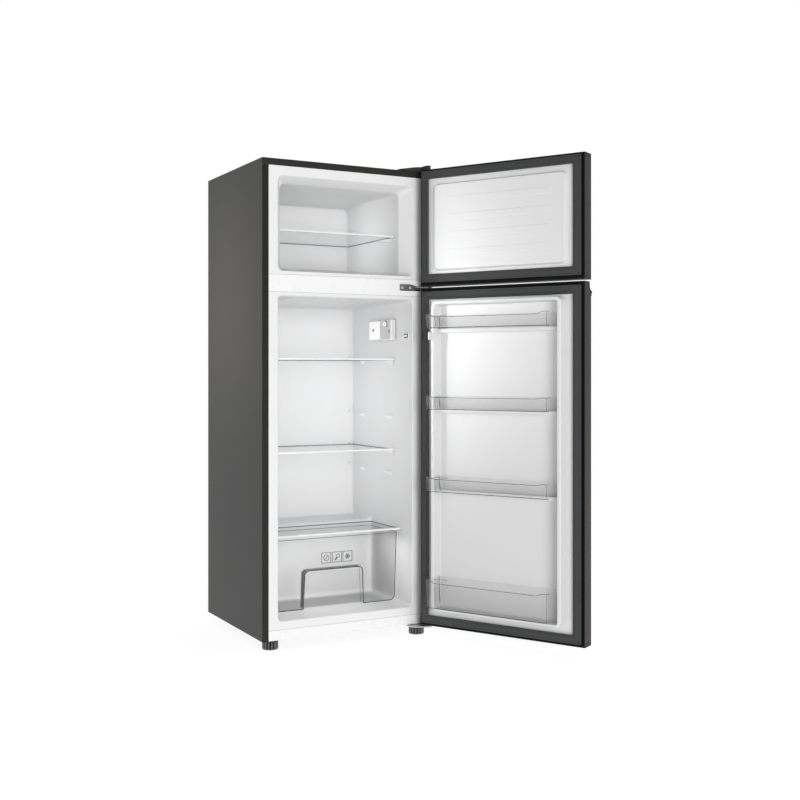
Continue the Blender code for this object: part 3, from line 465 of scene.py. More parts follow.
# ---- cabinet ---------------------------------------------------------------------------------
FRIDGE_HALF, FREEZER_HALF = 0.224, 0.1995  # from the middle to the liners' side walls
REAR_WALL = 0.4228
ROOF, ROOF_SLOPE = 1.0095, 0.0187          # fresh food space: height in front, fall to the back
SHELF_LEVELS = (0.826, 0.649, 0.539, 0.469)
FREEZER_SHELF = 1.213


def paint_front_joint_shade():
    """Painted shade: narrow grey strips in the joints between the white strips on the cabinet's
    front.
    """
    bm = bmesh.new()
    low, high = span("divider_cover")
    for level in (low.z, high.z, span("bottom_beam")[1].z):
        block(bm, (low.x, low.y - 0.0002, level - 0.0007),
              (high.x, low.y + 0.0006, level + 0.0005))
    piece("front_joint_shade", bm, [JOINT_SHADE], "cabinet")


def ceiling_ribs():
    """Long shallow ribs pressed into the roof of the fresh food space."""
    bm = bmesh.new()
    start, end = 0.040, 0.385
    front_roof, rear_roof = ROOF - ROOF_SLOPE * start, ROOF - ROOF_SLOPE * end
    for place in (-0.160, -0.080, 0.0, 0.080, 0.160):
        for wide, deep in ((0.0075, 0.0006), (0.0040, 0.0016)):
            outline = [(start, front_roof + 0.001), (end, rear_roof + 0.001),
                       (end, rear_roof - deep * 0.5), (start, front_roof - deep)]
            prism(bm, outline, "x", place - wide / 2, place + wide / 2)
    piece("ceiling_ribs", bm, [WHITE], "cabinet")


def rear_lugs():
    """Hooks on the back wall that hold the shelves' rear edges down, each with a grey mark of
    painted shade for its slot.
    """
    bm = bmesh.new()
    off_middle, half, slot = 0.2125, 0.0042, 0.0016
    behind = REAR_WALL + 0.0005
    for level in SHELF_LEVELS:
        for side in (-1, 1):
            middle = side * off_middle
            block(bm, (middle - half, REAR_WALL - 0.0130, level + 0.0012),
                  (middle + half, behind, level + 0.0052), 0.0008)
            block(bm, (middle - half, REAR_WALL - 0.0040, level + 0.0030),
                  (middle + half, behind, level + 0.0140), 0.0010)
            # Painted shade: a grey mark on each hook's face for its slot.
            block(bm, (middle - slot, REAR_WALL - 0.0044, level + 0.0065),
                  (middle + slot, REAR_WALL - 0.0036, level + 0.0095), 0.0, 1)
    piece("rear_shelf_hooks", bm, [TRIM, JOINT_SHADE], "cabinet")


def support_noses():
    """Bright wedges on both side walls: tall and flush in front, low and deep behind."""
    fridge_rows = ((0.126, 0.175), (0.325, 0.346))
    freezer_rows = ((0.0865, 0.165),)
    bm = bmesh.new()
    for half, levels, rows, deep in ((FRIDGE_HALF, SHELF_LEVELS, fridge_rows, 0.0104),
                                     (FREEZER_HALF, (FREEZER_SHELF,), freezer_rows, 0.0074)):
        # share of the way back, reach into the room, height
        stations = ((0.0, 0.0006, 0.0125), (0.05, 0.0016, 0.0130), (0.25, 0.0038, 0.0112),
                    (0.50, 0.0066, 0.0086), (0.75, 0.0090, 0.0062), (1.0, deep, 0.0040))
        for level in levels:
            top = level - 0.0043
            for start, end in rows:
                for side in (-1, 1):
                    rings = []
                    for share, reach, high in stations:
                        inner, outer = side * (half - reach), side * (half + 0.0005)
                        y = start + (end - start) * share
                        rings.append([(inner, y, top + 0.0002), (outer, y, top + 0.0002),
                                      (outer, y, top - high - 0.0015), (inner, y, top - high)])
                    skin(bm, rings)
    piece("shelf_support_noses", bm, [TRIM], "cabinet")


def thermostat():
    """Lamp housing with its lens, grey control plate and knob."""
    low, high = span("thermostat_housing")
    plate_low, plate_high = span("thermostat_cover")
    bm = bmesh.new()
    block(bm, low, high, 0.0060, 0, 4)
    outline = rounded(plate_high.y + 0.0045, high.y - 0.0050, low.z + 0.0050, high.z - 0.0050,
                      0.0040)
    prism(bm, outline, "x", low.x - 0.0009, low.x + 0.0010, 1)
    # Painted shade: a small black mark by the lens, and another beside the plate below.
    lens_mark = plate_high.y + 0.0480
    block(bm, (low.x - 0.0012, lens_mark, low.z + 0.0300),
          (low.x - 0.0004, lens_mark + 0.0070, low.z + 0.0390), 0.0, 2)
    outline = rounded(low.y + 0.0012, plate_high.y, plate_low.z, plate_high.z, 0.0060)
    prism(bm, outline, "x", plate_low.x, plate_high.x + 0.0006, 3)
    block(bm, (low.x + 0.0040, low.y - 0.00002, low.z + 0.0040),
          (high.x - 0.0030, low.y + 0.0010, high.z - 0.0040), 0.0, 4)
    block(bm, (plate_low.x - 0.0002, plate_low.y + 0.0010, plate_low.z + 0.0200),
          (plate_low.x + 0.0004, plate_low.y + 0.0060, plate_low.z + 0.0300), 0.0, 2)
    knob_low, knob_high = span("thermostat_knob")
    centre = (plate_low.x - 0.0002, (knob_low.y + knob_high.y) / 2,
              (knob_low.z + knob_high.z) / 2)
    # Painted shadow: a black ring round the knob, for the shadow the knob casts on the plate.
    knob_shadow = []
    knob_shadow_radius = 0.0102
    for step in range(25):
        angle = math.radians(-60 + 300 * step / 24)
        knob_shadow.append((centre[0], centre[1] + knob_shadow_radius * math.cos(angle),
                     centre[2] + knob_shadow_radius * math.sin(angle)))
    tube(bm, knob_shadow, 0.0011, 2)
    piece("thermostat_box", bm, [TRIM, LENS, SEAM_SHADE, PLATE, CHEEK], "cabinet",
          stands_for=("thermostat_housing", "thermostat_cover"))
    bm = bmesh.new()
    reach = knob_high.x - knob_low.x
    centre = (knob_low.x, centre[1], centre[2])
    lathe(bm, [(reach, 0.0090), (reach * 0.55, 0.0090), (reach * 0.50, 0.0082),
               (reach * 0.42, 0.0080), (reach * 0.38, 0.0060)], "x", centre, 0, 40)
    block(bm, (knob_low.x, centre[1] - 0.0016, centre[2] - 0.0062),
          (knob_low.x + reach * 0.6, centre[1] + 0.0016, centre[2] + 0.0062), 0.0007)
    block(bm, (knob_low.x - 0.00005, centre[1] - 0.0004, centre[2] + 0.0015),
          (knob_low.x + 0.0004, centre[1] + 0.0004, centre[2] + 0.0055), 0.0, 1)
    piece("thermostat_dial", bm, [TRIM, PRINT], "thermostat_knob",
          stands_for=("thermostat_knob",))


def door_switch():
    """White switch block with two slots beside its button; its slots are thin black strips of
    painted shade.
    """
    low, high = span("door_switch_housing")
    button_low, button_high = span("door_switch_button")
    bm = bmesh.new()
    block(bm, low, (high.x, button_low.y - 0.0004, high.z), 0.0010)
    block(bm, (low.x, button_high.y + 0.0004, low.z), high, 0.0010)
    for base, top in ((low.z, button_low.z - 0.0004), (button_high.z + 0.0004, high.z)):
        block(bm, (low.x, button_low.y - 0.002, base),
              (high.x, button_high.y + 0.002, top), 0.0010)
    # Painted shade: thin black strips on the face stand in for the shade in the slots.
    for level in (low.z + 0.0030, high.z - 0.0056):
        block(bm, (low.x - 0.0002, low.y + 0.0020, level),
              (low.x + 0.0005, button_high.y - 0.0010, level + 0.0026), 0.0, 1)
    block(bm, (low.x - 0.0002, low.y + 0.0020, low.z + 0.0040),
          (low.x + 0.0005, low.y + 0.0058, high.z - 0.0040), 0.0, 1)
    piece("door_switch_block", bm, [TRIM, SEAM_SHADE], "cabinet",
          stands_for=("door_switch_housing",))
    bm = bmesh.new()
    block(bm, button_low, button_high, 0.0012, 0, 3)
    piece("door_switch_key", bm, [TRIM], "door_switch_button",
          stands_for=("door_switch_button",))


def back_panel():
    """Painted back with raised fields, edge screws and a closed foam port, and its lower edge."""
    low, high = span("back_panel")
    bm = bmesh.new()
    block(bm, low, (high.x, high.y - 0.0006, high.z), 0.0003)
    rows, columns = 5, 2
    margin_x, margin_z, gap = 0.030, 0.035, 0.006
    wide = (high.x - low.x - 2 * margin_x) / columns
    tall = (high.z - low.z - 2 * margin_z) / rows
    for row in range(rows):
        for column in range(columns):
            start_x = low.x + margin_x + column * wide + gap
            start_z = low.z + margin_z + row * tall + gap
            ends = (start_x, start_x + wide - 2 * gap, start_z, start_z + tall - 2 * gap)
            rings = []
            for inset, y in ((0.0, high.y - 0.0008), (0.0022, high.y - 0.0001),
                             (0.0060, high.y)):
                rings.append([(a, y, b) for a, b in rounded(ends[0] + inset, ends[1] - inset,
                                                            ends[2] + inset, ends[3] - inset,
                                                            0.018 - inset)])
            skin(bm, rings)
    for level in range(7):
        z = low.z + 0.018 + level * (high.z - low.z - 0.036) / 6
        for side in (-1, 1):
            screw(bm, (side * 0.259, high.y - 0.0012, z), "y", 0.0038, 0.0011, 1)
    lathe(bm, [(0.0, 0.016), (0.0006, 0.016), (0.0008, 0.013)], "y",
          (0.150, high.y - 0.0010, low.z + 0.030), 2)
    piece("back_cover", bm, [BACK, ZINC, BLACK], "cabinet",
          stands_for=("back_panel",))
    bm = bmesh.new()
    block(bm, (low.x, high.y - 0.0014, low.z - 0.0042), (high.x, high.y - 0.0003, low.z + 0.0002),
          0.0003)
    piece("bay_edge_trim", bm, [BACK], "cabinet")


def compressor():
    """Sealed compressor: welded seam, terminal box, process tube and the nuts on its feet."""
    refine("compressor", PAINT, 0.0012, 2, 50)
    bm = bmesh.new()
    middle = Vector((0.055, 0.404, 0.0))
    half_x, half_y, seam_level = 0.0935, 0.0650, 0.0870
    seam = [(middle.x + half_x * a, middle.y + half_y * b, seam_level)
            for a, b in circle(1.0, 40)]
    tube(bm, seam, 0.0022, 0, 8, True)
    block(bm, (middle.x - 0.026, 0.4545, 0.070), (middle.x + 0.026, 0.4755, 0.122), 0.0045, 1, 3)
    block(bm, (middle.x - 0.020, 0.4750, 0.076), (middle.x + 0.020, 0.4766, 0.116), 0.0006, 1)
    screw(bm, (middle.x, 0.4762, 0.096), "y", 0.0036, 0.0012, 2)
    pipe = 0.0028
    tube(bm, [(-0.020, 0.440, 0.065), (-0.036, 0.446, 0.064), (-0.050, 0.452, 0.066),
              (-0.062, 0.454, 0.076), (-0.066, 0.454, 0.100)], pipe, 3, 10)
    lathe(bm, [(0.0, pipe), (0.004, 0.0016), (0.010, 0.0012)], "z", (-0.066, 0.454, 0.0995),
          3, 12)
    for side_x in (-1, 1):
        for side_y in (-1, 1):
            spot = (middle.x + side_x * 0.086, 0.402 + side_y * 0.038, 0.0236)
            lathe(bm, [(0.0, 0.0085), (0.0014, 0.0085), (0.0016, 0.0048), (0.0052, 0.0048),
                       (0.0058, 0.0040)], "z", spot, 2, 18)
    piece("compressor_fittings", bm, [PAINT, BLACK, ZINC, COPPER], "cabinet")


def feet():
    """Levelling feet with a fine grip round the rim and a threaded stem."""
    for node, body in (("foot_left", "left_foot"), ("foot_right", "right_foot")):
        low, high = span(node)
        middle = (low + high) / 2
        foot = (middle.x, middle.y, low.z)
        bm = bmesh.new()
        teeth, ridge, groove = 14, 0.0239, 0.0196
        rings = []
        tall = high.z - low.z - 0.0032
        for share, size in ((0.0, 0.90), (0.07, 0.965), (0.12, 1.0), (0.88, 1.0), (0.94, 0.965),
                            (1.0, 0.88)):
            ring = []
            for step, (a, b) in enumerate(circle(1.0, teeth * 4)):
                radius = (ridge if step % 4 < 2 else groove) * size
                ring.append((middle.x + radius * a, middle.y + radius * b, low.z + tall * share))
            rings.append(ring)
        skin(bm, rings)
        # The first band is a black core that shows in the grooves between the teeth: painted shade
        # in the grooves.
        for start, end, radius, mat, sides in (
                (tall * 0.07, tall * 0.93, 0.0206, 2, 40),
                (tall - 0.0004, tall + 0.0018, 0.0110, 1, 6),
                (tall, high.z - low.z - 0.0002, 0.0052, 1, 24)):
            lathe(bm, [(start, radius), (end, radius)], "z", foot, mat, sides)
        piece(node + "_knob", bm, [FOOT, ZINC, SEAM_SHADE], body, stands_for=(node,),
              sharp=25)


def hinges():
    refine("top_hinge", ZINC, 0.0004)
    refine("top_hinge_cover", DARK, 0.0012, 3)
    refine("middle_hinge", HINGE, 0.0005)
    refine("bottom_hinge", ZINC, 0.0005)
    left = span("middle_hinge")[0].x
    plate_face, screw_level, plate_foot, plate_end = -0.0030, 1.0475, 1.0378, 0.2490
    bm = bmesh.new()
    for x in (left + 0.0095, left + 0.0370):
        screw(bm, (x, plate_face, screw_level), "y", 0.0050, -0.0021)
    for washer in (1.0446, 1.0485):
        lathe(bm, [(0.0, 0.0068), (0.0009, 0.0068)], "z", (AXIS.x, AXIS.y, washer), 0, 24)
    # Painted shadow: a black line along the foot of the hinge plate.
    tube(bm, [(left + 0.003, plate_face - 0.0001, plate_foot),
              (plate_end, plate_face - 0.0001, plate_foot)], 0.0005, 1, 6)
    piece("middle_hinge_screws", bm, [BRIGHT, SEAM_SHADE], "cabinet")
    bm = bmesh.new()
    for x, y in ((0.222, 0.012), (0.244, 0.030), (0.222, 0.036)):
        screw(bm, (x, y, -0.0050), "z", 0.0048, -0.0022)
    for level in (0.0100, 0.0270):
        screw(bm, (0.2643, 0.0003, level), "y", 0.0038, -0.0007)
    piece("bottom_hinge_screws", bm, [ZINC], "cabinet")


def machine_room():
    compressor()
    for index in range(4):
        refine("compressor_grommet_%d" % (index + 1), RUBBER, 0.0006, 2)
    refine("drip_tray", BLACK, 0.0006)
    refine("discharge_pipe", COPPER, 0.0, 1, 60)
    refine("suction_pipe", COPPER, 0.0, 1, 60)
    refine("power_inlet", BLACK, 0.0010)
    refine("bay_plate", ZINC, 0.0004)
    refine("base_plate", BLACK, 0.0004)
    for side in ("left", "right"):
        refine("roller_%s_bracket" % side, ZINC, 0.0004)
        refine("roller_" + side, BLACK, 0.0008)
    bay_rear, bay_roof = 0.470, 0.2440
    bm = bmesh.new()
    for x in (-0.245, -0.12, 0.0, 0.12, 0.245):
        screw(bm, (x, bay_rear, bay_roof), "z", 0.0034, -0.0015)
    for x in (-0.24, 0.24):
        for y in (0.08, 0.24, 0.40):
            screw(bm, (x, y, 0.0), "z", 0.0036, -0.0014)
    piece("underside_screws", bm, [ZINC], "cabinet")


def cabinet():
    refine("side_panel_left", STEEL, 0.0009, 3)
    refine("side_panel_right", STEEL, 0.0009, 3)
    refine("top_cover", DARK_STEEL, 0.0006, 2)
    refine("fridge_liner", WHITE, 0.0009, 2)
    refine("freezer_liner", WHITE, 0.0009, 2)
    refine("divider_cover", TRIM, 0.0004)
    refine("bottom_beam", TRIM, 0.0004)
    paint_front_joint_shade()
    ceiling_ribs()
    rear_lugs()
    support_noses()
    thermostat()
    door_switch()
    back_panel()
    machine_room()
    feet()
    hinges()


# ---- doors -----------------------------------------------------------------------------------
GASKET_WIDE = 0.0255
DOORS = ("freezer_door", "fridge_door")


def frame_ring(half, low, high, inset, y):
    """Square ring round a door at an inset from its outer edge."""
    return [(half - inset, y, high - inset), (-half + inset, y, high - inset),
            (-half + inset, y, low + inset), (half - inset, y, low + inset)]


def gasket(door):
    """Magnetic seal: fins, two grooves in its face and mitred, welded corners."""
    low, high = span(door + "_gasket", TO_DOOR)
    back, face = low.y, high.y
    groove = face - 0.0009
    profile = [(0.0024, back), (0.0006, back + 0.0028), (0.0, face - 0.0016),
               (0.0008, face - 0.0004), (0.0042, face), (0.0050, groove), (0.0058, groove),
               (0.0066, face), (0.0178, face), (0.0186, groove), (0.0194, groove),
               (0.0202, face), (0.0236, face - 0.0005), (GASKET_WIDE, face - 0.0022),
               (0.0246, face - 0.0034), (0.0214, face - 0.0042), (0.0220, back)]
    bm = bmesh.new()
    rings = [frame_ring(high.x, low.z, high.z, inset, y) for inset, y in profile]
    skin(bm, rings, 0, True)
    # Painted shade: a black line along each mitred corner of the seal.
    for side in (-1, 1):
        for level, step in ((low.z, 1), (high.z, -1)):
            start = (side * (high.x - 0.0010), face - 0.00015, level + step * 0.0010)
            end = (side * (high.x - GASKET_WIDE + 0.001), face - 0.0006,
                   level + step * (GASKET_WIDE - 0.001))
            tube(bm, [start, end], 0.0004, 1, 6)
    piece(door + "_seal", bm, [GASKET, SEAM_SHADE], door, TO_DOOR, (door + "_gasket",), 30)
    # Painted shadow: a black frame on the door's back under the seal's outer edge, for the dark
    # groove between the seal and the door's edge.
    bm = bmesh.new()
    margin, wide = 0.0022, 0.0095
    shell_back = span(door + "_shell", TO_DOOR)[1].y
    foot = span(door + "_cap_bottom", TO_DOOR)[0].z + margin
    top = span(door + "_cap_top", TO_DOOR)[1].z - margin
    under, over = shell_back - 0.0002, shell_back + 0.0004
    rings = [frame_ring(HALF_WIDTH - margin, foot, top, inset, y)
             for inset, y in ((0.0, under), (0.0, over), (wide, over), (wide, under))]
    skin(bm, rings, 0, True)
    piece(door + "_seal_groove_shadow", bm, [SEAM_SHADE], door, TO_DOOR)


def bin_plan(low, high, front, half, radius, mark):
    """Plan of a bin: low along its front, high at its ends, with points up to its back edge."""
    right = [(half, 0.0, high)]
    for step in range(9):
        angle = math.radians(90 * step / 8)
        right.append((half - radius + radius * math.cos(angle),
                      front - radius + radius * math.sin(angle), high))
    right.append((mark + 0.018, front, high))
    right.append((mark + 0.009, front, (low + high) / 2))
    right.append((mark, front, low))
    return right + [(-x, y, level) for x, y, level in reversed(right)]


def door_bin(index, rise):
    """Clear bin: thin walls, a bead along the rim, a foot and a bottle clip, outlined in painted
    shade with one painted highlight line at each end.
    """
    node, body = "bin_%d" % index, "door_bin_%d" % index
    low, high = span(node, TO_DOOR)
    half, front, back = high.x, high.y, low.y
    wall, lean, radius, mark = 0.0020, 0.0025, 0.0140, 0.168
    rim = high.z - rise

    def plan(level_low, level_high, inset, tilt):
        points = bin_plan(level_low, level_high, front - inset - tilt, half - inset - tilt,
                          radius - inset, mark)
        return [(x, back + inset if y == 0.0 else y, z) for x, y, z in points]

    bm = bmesh.new()
    floor = low.z + wall
    skin(bm, [plan(low.z, low.z, 0.0018, lean), plan(low.z + 0.0018, low.z + 0.0018, 0.0, lean),
              plan(rim - 0.0010, high.z - 0.0010, 0.0, 0.0), plan(rim, high.z, 0.0006, 0.0),
              plan(rim, high.z, wall - 0.0004, 0.0), plan(rim - 0.001, high.z - 0.001, wall, 0.0),
              plan(floor + 0.002, floor + 0.002, wall, lean),
              plan(floor, floor, wall + 0.002, lean)])
    top = plan(rim - 0.0007, high.z - 0.0007, 0.0010, 0.0)
    # The rim bead, foot line, corner and end lines and clip outline are painted shade; one line at
    # each end is painted highlight.
    tube(bm, top[1:-1], 0.0010, 1, 8)
    foot = plan(low.z + 0.0010, low.z + 0.0010, 0.0008, lean)
    run = [point for point in foot if point[1] > front - 0.03]
    tube(bm, run, 0.0009, 2)
    for side in (-1, 1):
        corner = half - radius * 0.3
        y = front - radius * 0.3
        tube(bm, [(side * (corner - lean), y - lean, low.z + 0.002),
                  (side * corner, y, high.z - 0.002)], 0.0007, 1)
        for inset, mat in ((0.0008, 2), (0.0028, 3)):
            tube(bm, [(side * (half - lean - inset), back + 0.001, low.z + 0.002),
                      (side * (half - inset), back + 0.001, high.z - 0.002)], 0.0007, mat)
    tall = high.z - low.z
    line = 0.0006
    for x in (0.150, 0.168, 0.186):
        tube(bm, [(x - 0.001, front - lean - 0.0016, low.z + 0.006),
                  (x, front - 0.0016, low.z + tall * 0.78)], line, 1)
    clip = [(0.150, front - 0.004), (0.150, front - 0.044), (0.1515, front - 0.0455),
            (0.186, front - 0.0455), (0.1875, front - 0.044), (0.1875, front - 0.004)]
    tube(bm, [(x, y, high.z - 0.003) for x, y in clip], line, 1)
    piece(body + "_clear", bm, [BIN, CLEAR_EDGE_SHADE, CLEAR_DARK_EDGE_SHADE, CLEAR_EDGE_HIGHLIGHT], body,
          TO_DOOR, (node,), 40)


def door_edges():
    """Beads of painted highlight on the bends of the door skins beside the seals, and a strip of
    painted dark reflection in front of each bend.
    """
    bead, shade_outside, shade_inside = 0.0008, 0.27497, 0.2742
    for door in DOORS:
        low, high = span(door + "_shell", TO_DOOR)
        foot, top = low.z + 0.0004, high.z - 0.0004
        bm = bmesh.new()
        for side in (-1, 1):
            x, y = side * (HALF_WIDTH - bead), high.y - bead
            # A light bead as painted highlight, and a black strip as painted dark reflection beside
            # it.
            tube(bm, [(x, y, foot), (x, y, top)], bead, 0)
            ends = sorted((side * shade_outside, side * shade_inside))
            block(bm, (ends[0], high.y - 0.0066, foot), (ends[1], high.y - 0.0030, top), 0.0, 1)
        piece(door + "_edges", bm, [BEND_HIGHLIGHT, SEAM_SHADE], door, TO_DOOR)


def grip_cheeks():
    """Painted ends that close the recess along the top of the lower door."""
    low, high = span("fridge_door_cap_top", TO_DOOR)
    bm = bmesh.new()
    back, top = high.y - 0.0022, 1.0395
    inside, outside = 0.2748, 0.27504
    outline = [(back, low.z), (back, top), (-0.0333, top), (-0.0354, 1.0260),
               (-0.0464, 1.0138), (-0.0585, 1.0078), (-0.0590, low.z)]
    for side in (-1, 1):
        ends = sorted((side * inside, side * outside))
        prism(bm, outline, "x", ends[0], ends[1], 0)
    piece("grip_cheeks", bm, [STEEL], "fridge_door", TO_DOOR)


def doors():
    door_edges()
    grip_cheeks()
    for door in DOORS:
        refine(door + "_shell", STEEL, 0.0004, 2)
        refine(door + "_cap_top", DARK_CAP_AND_SHADE, 0.0008, 2)
        refine(door + "_cap_bottom", DARK_CAP_AND_SHADE, 0.0010, 2)
        refine(door + "_liner", DOOR_WHITE_SHADED, 0.0008, 2)
        gasket(door)
    for index, rise in enumerate((0.0065, 0.0030, 0.0035, 0.0070)):
        door_bin(index + 1, rise)


# ---- shelves and drawer ----------------------------------------------------------------------
def shelf(stem, body):
    """Safety glass with ground edges in a white front profile."""
    low, high = span(stem + "_glass")
    bm = bmesh.new()
    block(bm, low, high, 0.0006, 0, 2)
    bm.normal_update()
    for face in bm.faces:
        if abs(face.normal.z) < 0.8:
            face.material_index = 1
    piece(stem + "_pane", bm, [PANE, PANE_EDGE], body,
          stands_for=(stem + "_glass",), sharp=30)
    refine(stem + "_trim", TRIM, 0.0006, 3)


def outline_path(points, radius, steps=4):
    """A path with its inner corners rounded."""
    path = [Vector(points[0])]
    for before, corner, after in zip(points, points[1:], points[2:]):
        corner = Vector(corner)
        start = corner + (Vector(before) - corner).normalized() * radius
        end = corner + (Vector(after) - corner).normalized() * radius
        for step in range(steps + 1):
            t = step / steps
            path.append(start * (1 - t) ** 2 + corner * 2 * t * (1 - t) + end * t ** 2)
    path.append(Vector(points[-1]))
    return path


def drawer_front(x, z, low, high):
    """A point on the drawer's front, whose foot leans in by a millimetre."""
    share = (z - low.z) / (high.z - low.z)
    return Vector((x, low.y + 0.0010 * (1 - share), z))


def icon(bm, middle, z, glyph, low, high):
    """A plain square frame with a simple crossed ring, spoon or flake."""
    half, line = 0.0155, 0.0008
    corners = ((-1, -1), (1, -1), (1, 1), (-1, 1))
    square = [drawer_front(middle + a * half, z + b * half, low, high) for a, b in corners]
    lift = Vector((0.0, -0.0002, 0.0))
    tube(bm, [point + lift for point in square], line, 3, 6, True)
    if glyph == "ring":
        strokes = [(circle(0.0088, 16), True),
                   ([(-0.0045, -0.0045), (0.0050, 0.0050)], False)]
    elif glyph == "spoon":
        strokes = [(circle(0.0055, 14, (0.0035, 0.0035)), True),
                   ([(-0.0095, -0.0095), (-0.0005, -0.0005)], False),
                   ([(-0.0060, -0.0095), (0.0010, -0.0020)], False)]
    else:
        arms = [(0.0095 * math.cos(math.radians(turn)), 0.0095 * math.sin(math.radians(turn)))
                for turn in (0, 60, 120)]
        strokes = [([(-a, -b), (a, b)], False) for a, b in arms]
        strokes.append((circle(0.0060, 12), True))
    for points, loop in strokes:
        path = [drawer_front(middle + a, z + b, low, high) + lift for a, b in points]
        tube(bm, path, line, 3, 6, loop)


def crisper():
    """Clear drawer: dark lines of painted shade along its edges and finger pocket outline, and
    three plain icons.
    """
    low, high = span("crisper_drawer")
    refine("crisper_drawer", CLEAR, 0.0005, 2)
    bm = bmesh.new()
    half, foot = high.x - 0.0035, high.x - 0.0110
    front_y = low.y + 0.0035
    base_z = low.z + 0.0014
    floor_y = low.y + 0.0032
    edge = 0.0013
    pocket_mid, pocket_foot = -0.0045, 0.1022
    shoulder, shoulder_z, top_half, top_z = 0.0977, 0.1710, 0.0893, 0.1790
    icon_level = 0.2145
    # Dark lines of painted shade along the drawer's front edges, pocket, rim and the pocket's back.
    for side in (-1, 1):
        path = [(side * half, front_y, high.z - 0.001),
                (side * (foot + 0.001), front_y + 0.001, low.z + 0.010),
                (side * (foot - 0.010), floor_y, base_z),
                (pocket_mid + side * pocket_foot, floor_y, base_z)]
        tube(bm, outline_path(path, 0.006), edge, 2)
    pocket = []
    for side, order in ((-1, 1), (1, -1)):
        pocket += [(pocket_mid + side * x, y, z) for x, y, z in
                   ((pocket_foot, floor_y, base_z), (shoulder, low.y + 0.0006, shoulder_z),
                    (top_half, low.y + 0.0005, top_z))[::order]]
    tube(bm, outline_path(pocket, 0.004), edge, 2)
    inner = [(x, low.y + 0.022, z) for x, y, z in pocket]
    tube(bm, outline_path(inner, 0.004), 0.0007, 1)
    rim = [(a, b, high.z - 0.0006) for a, b in rounded(-high.x + 0.0006, high.x - 0.0006,
                                                     low.y + 0.0006, high.y - 0.0006, 0.012)]
    tube(bm, rim, 0.0009, 1, 8, True)
    for middle, glyph in ((-0.0315, "ring"), (0.0050, "spoon"), (0.0410, "flake")):
        icon(bm, middle, icon_level, glyph, low, high)
    piece("crisper_drawer_edges", bm, [CLEAR, CLEAR_EDGE_SHADE, CLEAR_DARK_EDGE_SHADE, PRINT], "crisper_drawer",
          sharp=50)


def fittings():
    shelf("shelf_upper", "upper_shelf")
    shelf("shelf_lower", "lower_shelf")
    shelf("crisper_cover", "crisper_cover")
    shelf("freezer_shelf", "freezer_shelf")
    crisper()


# ---- stage, light and camera -----------------------------------------------------------------
FLOOR_HALF, FLOOR_DROP, FLOOR_GLOW = 30.0, 0.0002, 0.915
FRONT_SKY = 0.30                 # brightness behind the camera, where 1 is that behind the object
VIEW_LINE = (0.477, 0.879, 0.0)  # level direction in which the camera looks
KEY = 135.0
SIDE = 3.6
FILL = 0.52
FREEZER_FILL = FILL / 3.2
DRAWER_FILL = 0.42
EYE = (-1.4940, -3.0868, 0.7885)  # from the cabinet's own origin
HEADING = -28.473
FOCAL_LENGTH, SENSOR, SHIFT = 51.069, 36.0, -0.03637


def stage():
    """Pale floor, lit enough from itself to leave only a soft contact shadow."""
    mesh = bpy.data.meshes.new("floor")
    corners = [(x * FLOOR_HALF, y * FLOOR_HALF, 0) for x, y in ((-1, -1), (1, -1), (1, 1), (-1, 1))]
    mesh.from_pydata(corners, [], [(0, 1, 2, 3)])
    floor = bpy.data.objects.new("floor", mesh)
    bpy.context.scene.collection.objects.link(floor)
    floor.location.z = -FLOOR_DROP
    look = material("floor_white", (0.20, 0.20, 0.20), 0.9, specular=0.0)
    shader = look.node_tree.nodes["Principled BSDF"]
    shader.inputs["Emission Color"].default_value = (1.0, 1.0, 1.0, 1.0)
    shader.inputs["Emission Strength"].default_value = FLOOR_GLOW
    mesh.materials.append(look)


def area_light(name, place, target, size, power):
    data = bpy.data.lights.new(name, "AREA")
    data.shape = "RECTANGLE"
    data.size, data.size_y = size
    data.energy = power
    light = bpy.data.objects.new(name, data)
    bpy.context.scene.collection.objects.link(light)
    light.location = place
    light.rotation_euler = (Vector(target) - Vector(place)).to_track_quat("-Z", "Y").to_euler()
    light.visible_camera = False
    light.visible_glossy = False
    return light


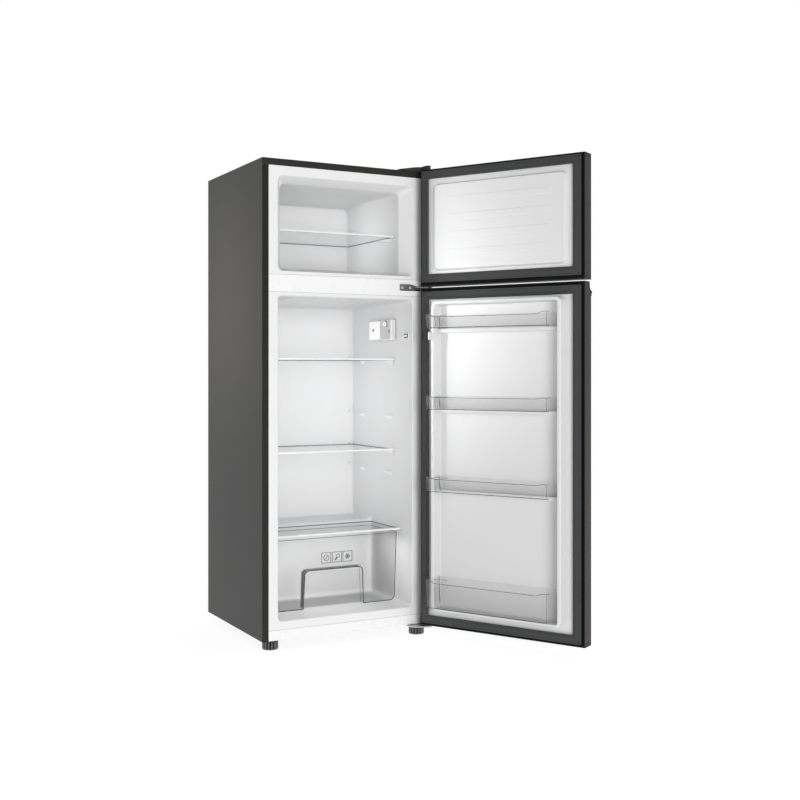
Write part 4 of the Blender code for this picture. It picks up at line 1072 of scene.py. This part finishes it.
def lights():
    """White studio: full brightness behind the object, less of it behind the camera."""
    world = bpy.data.worlds.new("studio")
    bpy.context.scene.world = world
    world.use_nodes = True
    nodes, links = world.node_tree.nodes, world.node_tree.links
    background = nodes["Background"]
    place = nodes.new("ShaderNodeTexCoord")
    along = nodes.new("ShaderNodeVectorMath")
    along.operation = "DOT_PRODUCT"
    along.inputs[1].default_value = VIEW_LINE
    spread = nodes.new("ShaderNodeMapRange")
    spread.inputs["From Min"].default_value = 0.20
    spread.inputs["From Max"].default_value = 0.80
    spread.inputs["To Min"].default_value = FRONT_SKY
    spread.inputs["To Max"].default_value = 1.0
    links.new(place.outputs["Generated"], along.inputs[0])
    links.new(along.outputs["Value"], spread.inputs["Value"])
    links.new(spread.outputs["Result"], background.inputs["Strength"])
    background.inputs["Color"].default_value = (1.0, 1.0, 1.0, 1.0)
    area_light("key", (-0.6, -4.7, 0.95), (0.0, 0.0, 0.80), (1.8, 1.8), KEY)
    side = area_light("side_strip", (-1.9, 0.30, 1.08), (0.0, 0.30, 1.02), (0.30, 0.34), SIDE)
    side.data.spread = math.radians(38)
    fill_x = -0.19
    for name, depth, level, size, power, opening in (
            ("fridge_fill", 0.21, 0.66, (0.28, 0.64), FILL, 110),
            ("freezer_fill", 0.23, 1.22, (0.26, 0.20), FREEZER_FILL, 64)):
        spot = CABINET + Vector((fill_x, depth, level))
        fill = area_light(name, spot, spot + Vector((1.0, 0.0, 0.0)), size, power)
        fill.data.spread = math.radians(opening)
    spot = CABINET + Vector((0.0, 0.105, 0.272))
    area_light("drawer_fill", spot, spot - Vector((0.0, 0.0, 1.0)), (0.36, 0.14), DRAWER_FILL)


def camera():
    data = bpy.data.cameras.new("view")
    data.lens = FOCAL_LENGTH
    data.sensor_width = SENSOR
    data.shift_y = SHIFT
    data.clip_end = 100.0
    cam = bpy.data.objects.new("view", data)
    bpy.context.scene.collection.objects.link(cam)
    cam.location = CABINET + Vector(EYE)
    cam.rotation_euler = (math.radians(90), 0, math.radians(HEADING))
    bpy.context.scene.camera = cam
    bpy.context.scene.view_settings.view_transform = "Standard"


for part in frame["record"]["subparts"]:
    looks = NODES[part["node"]].data.materials
    looks.clear()
    looks.append(SLOTS[part["material_slot"]])
cabinet()
doors()
fittings()
stage()
lights()
camera()
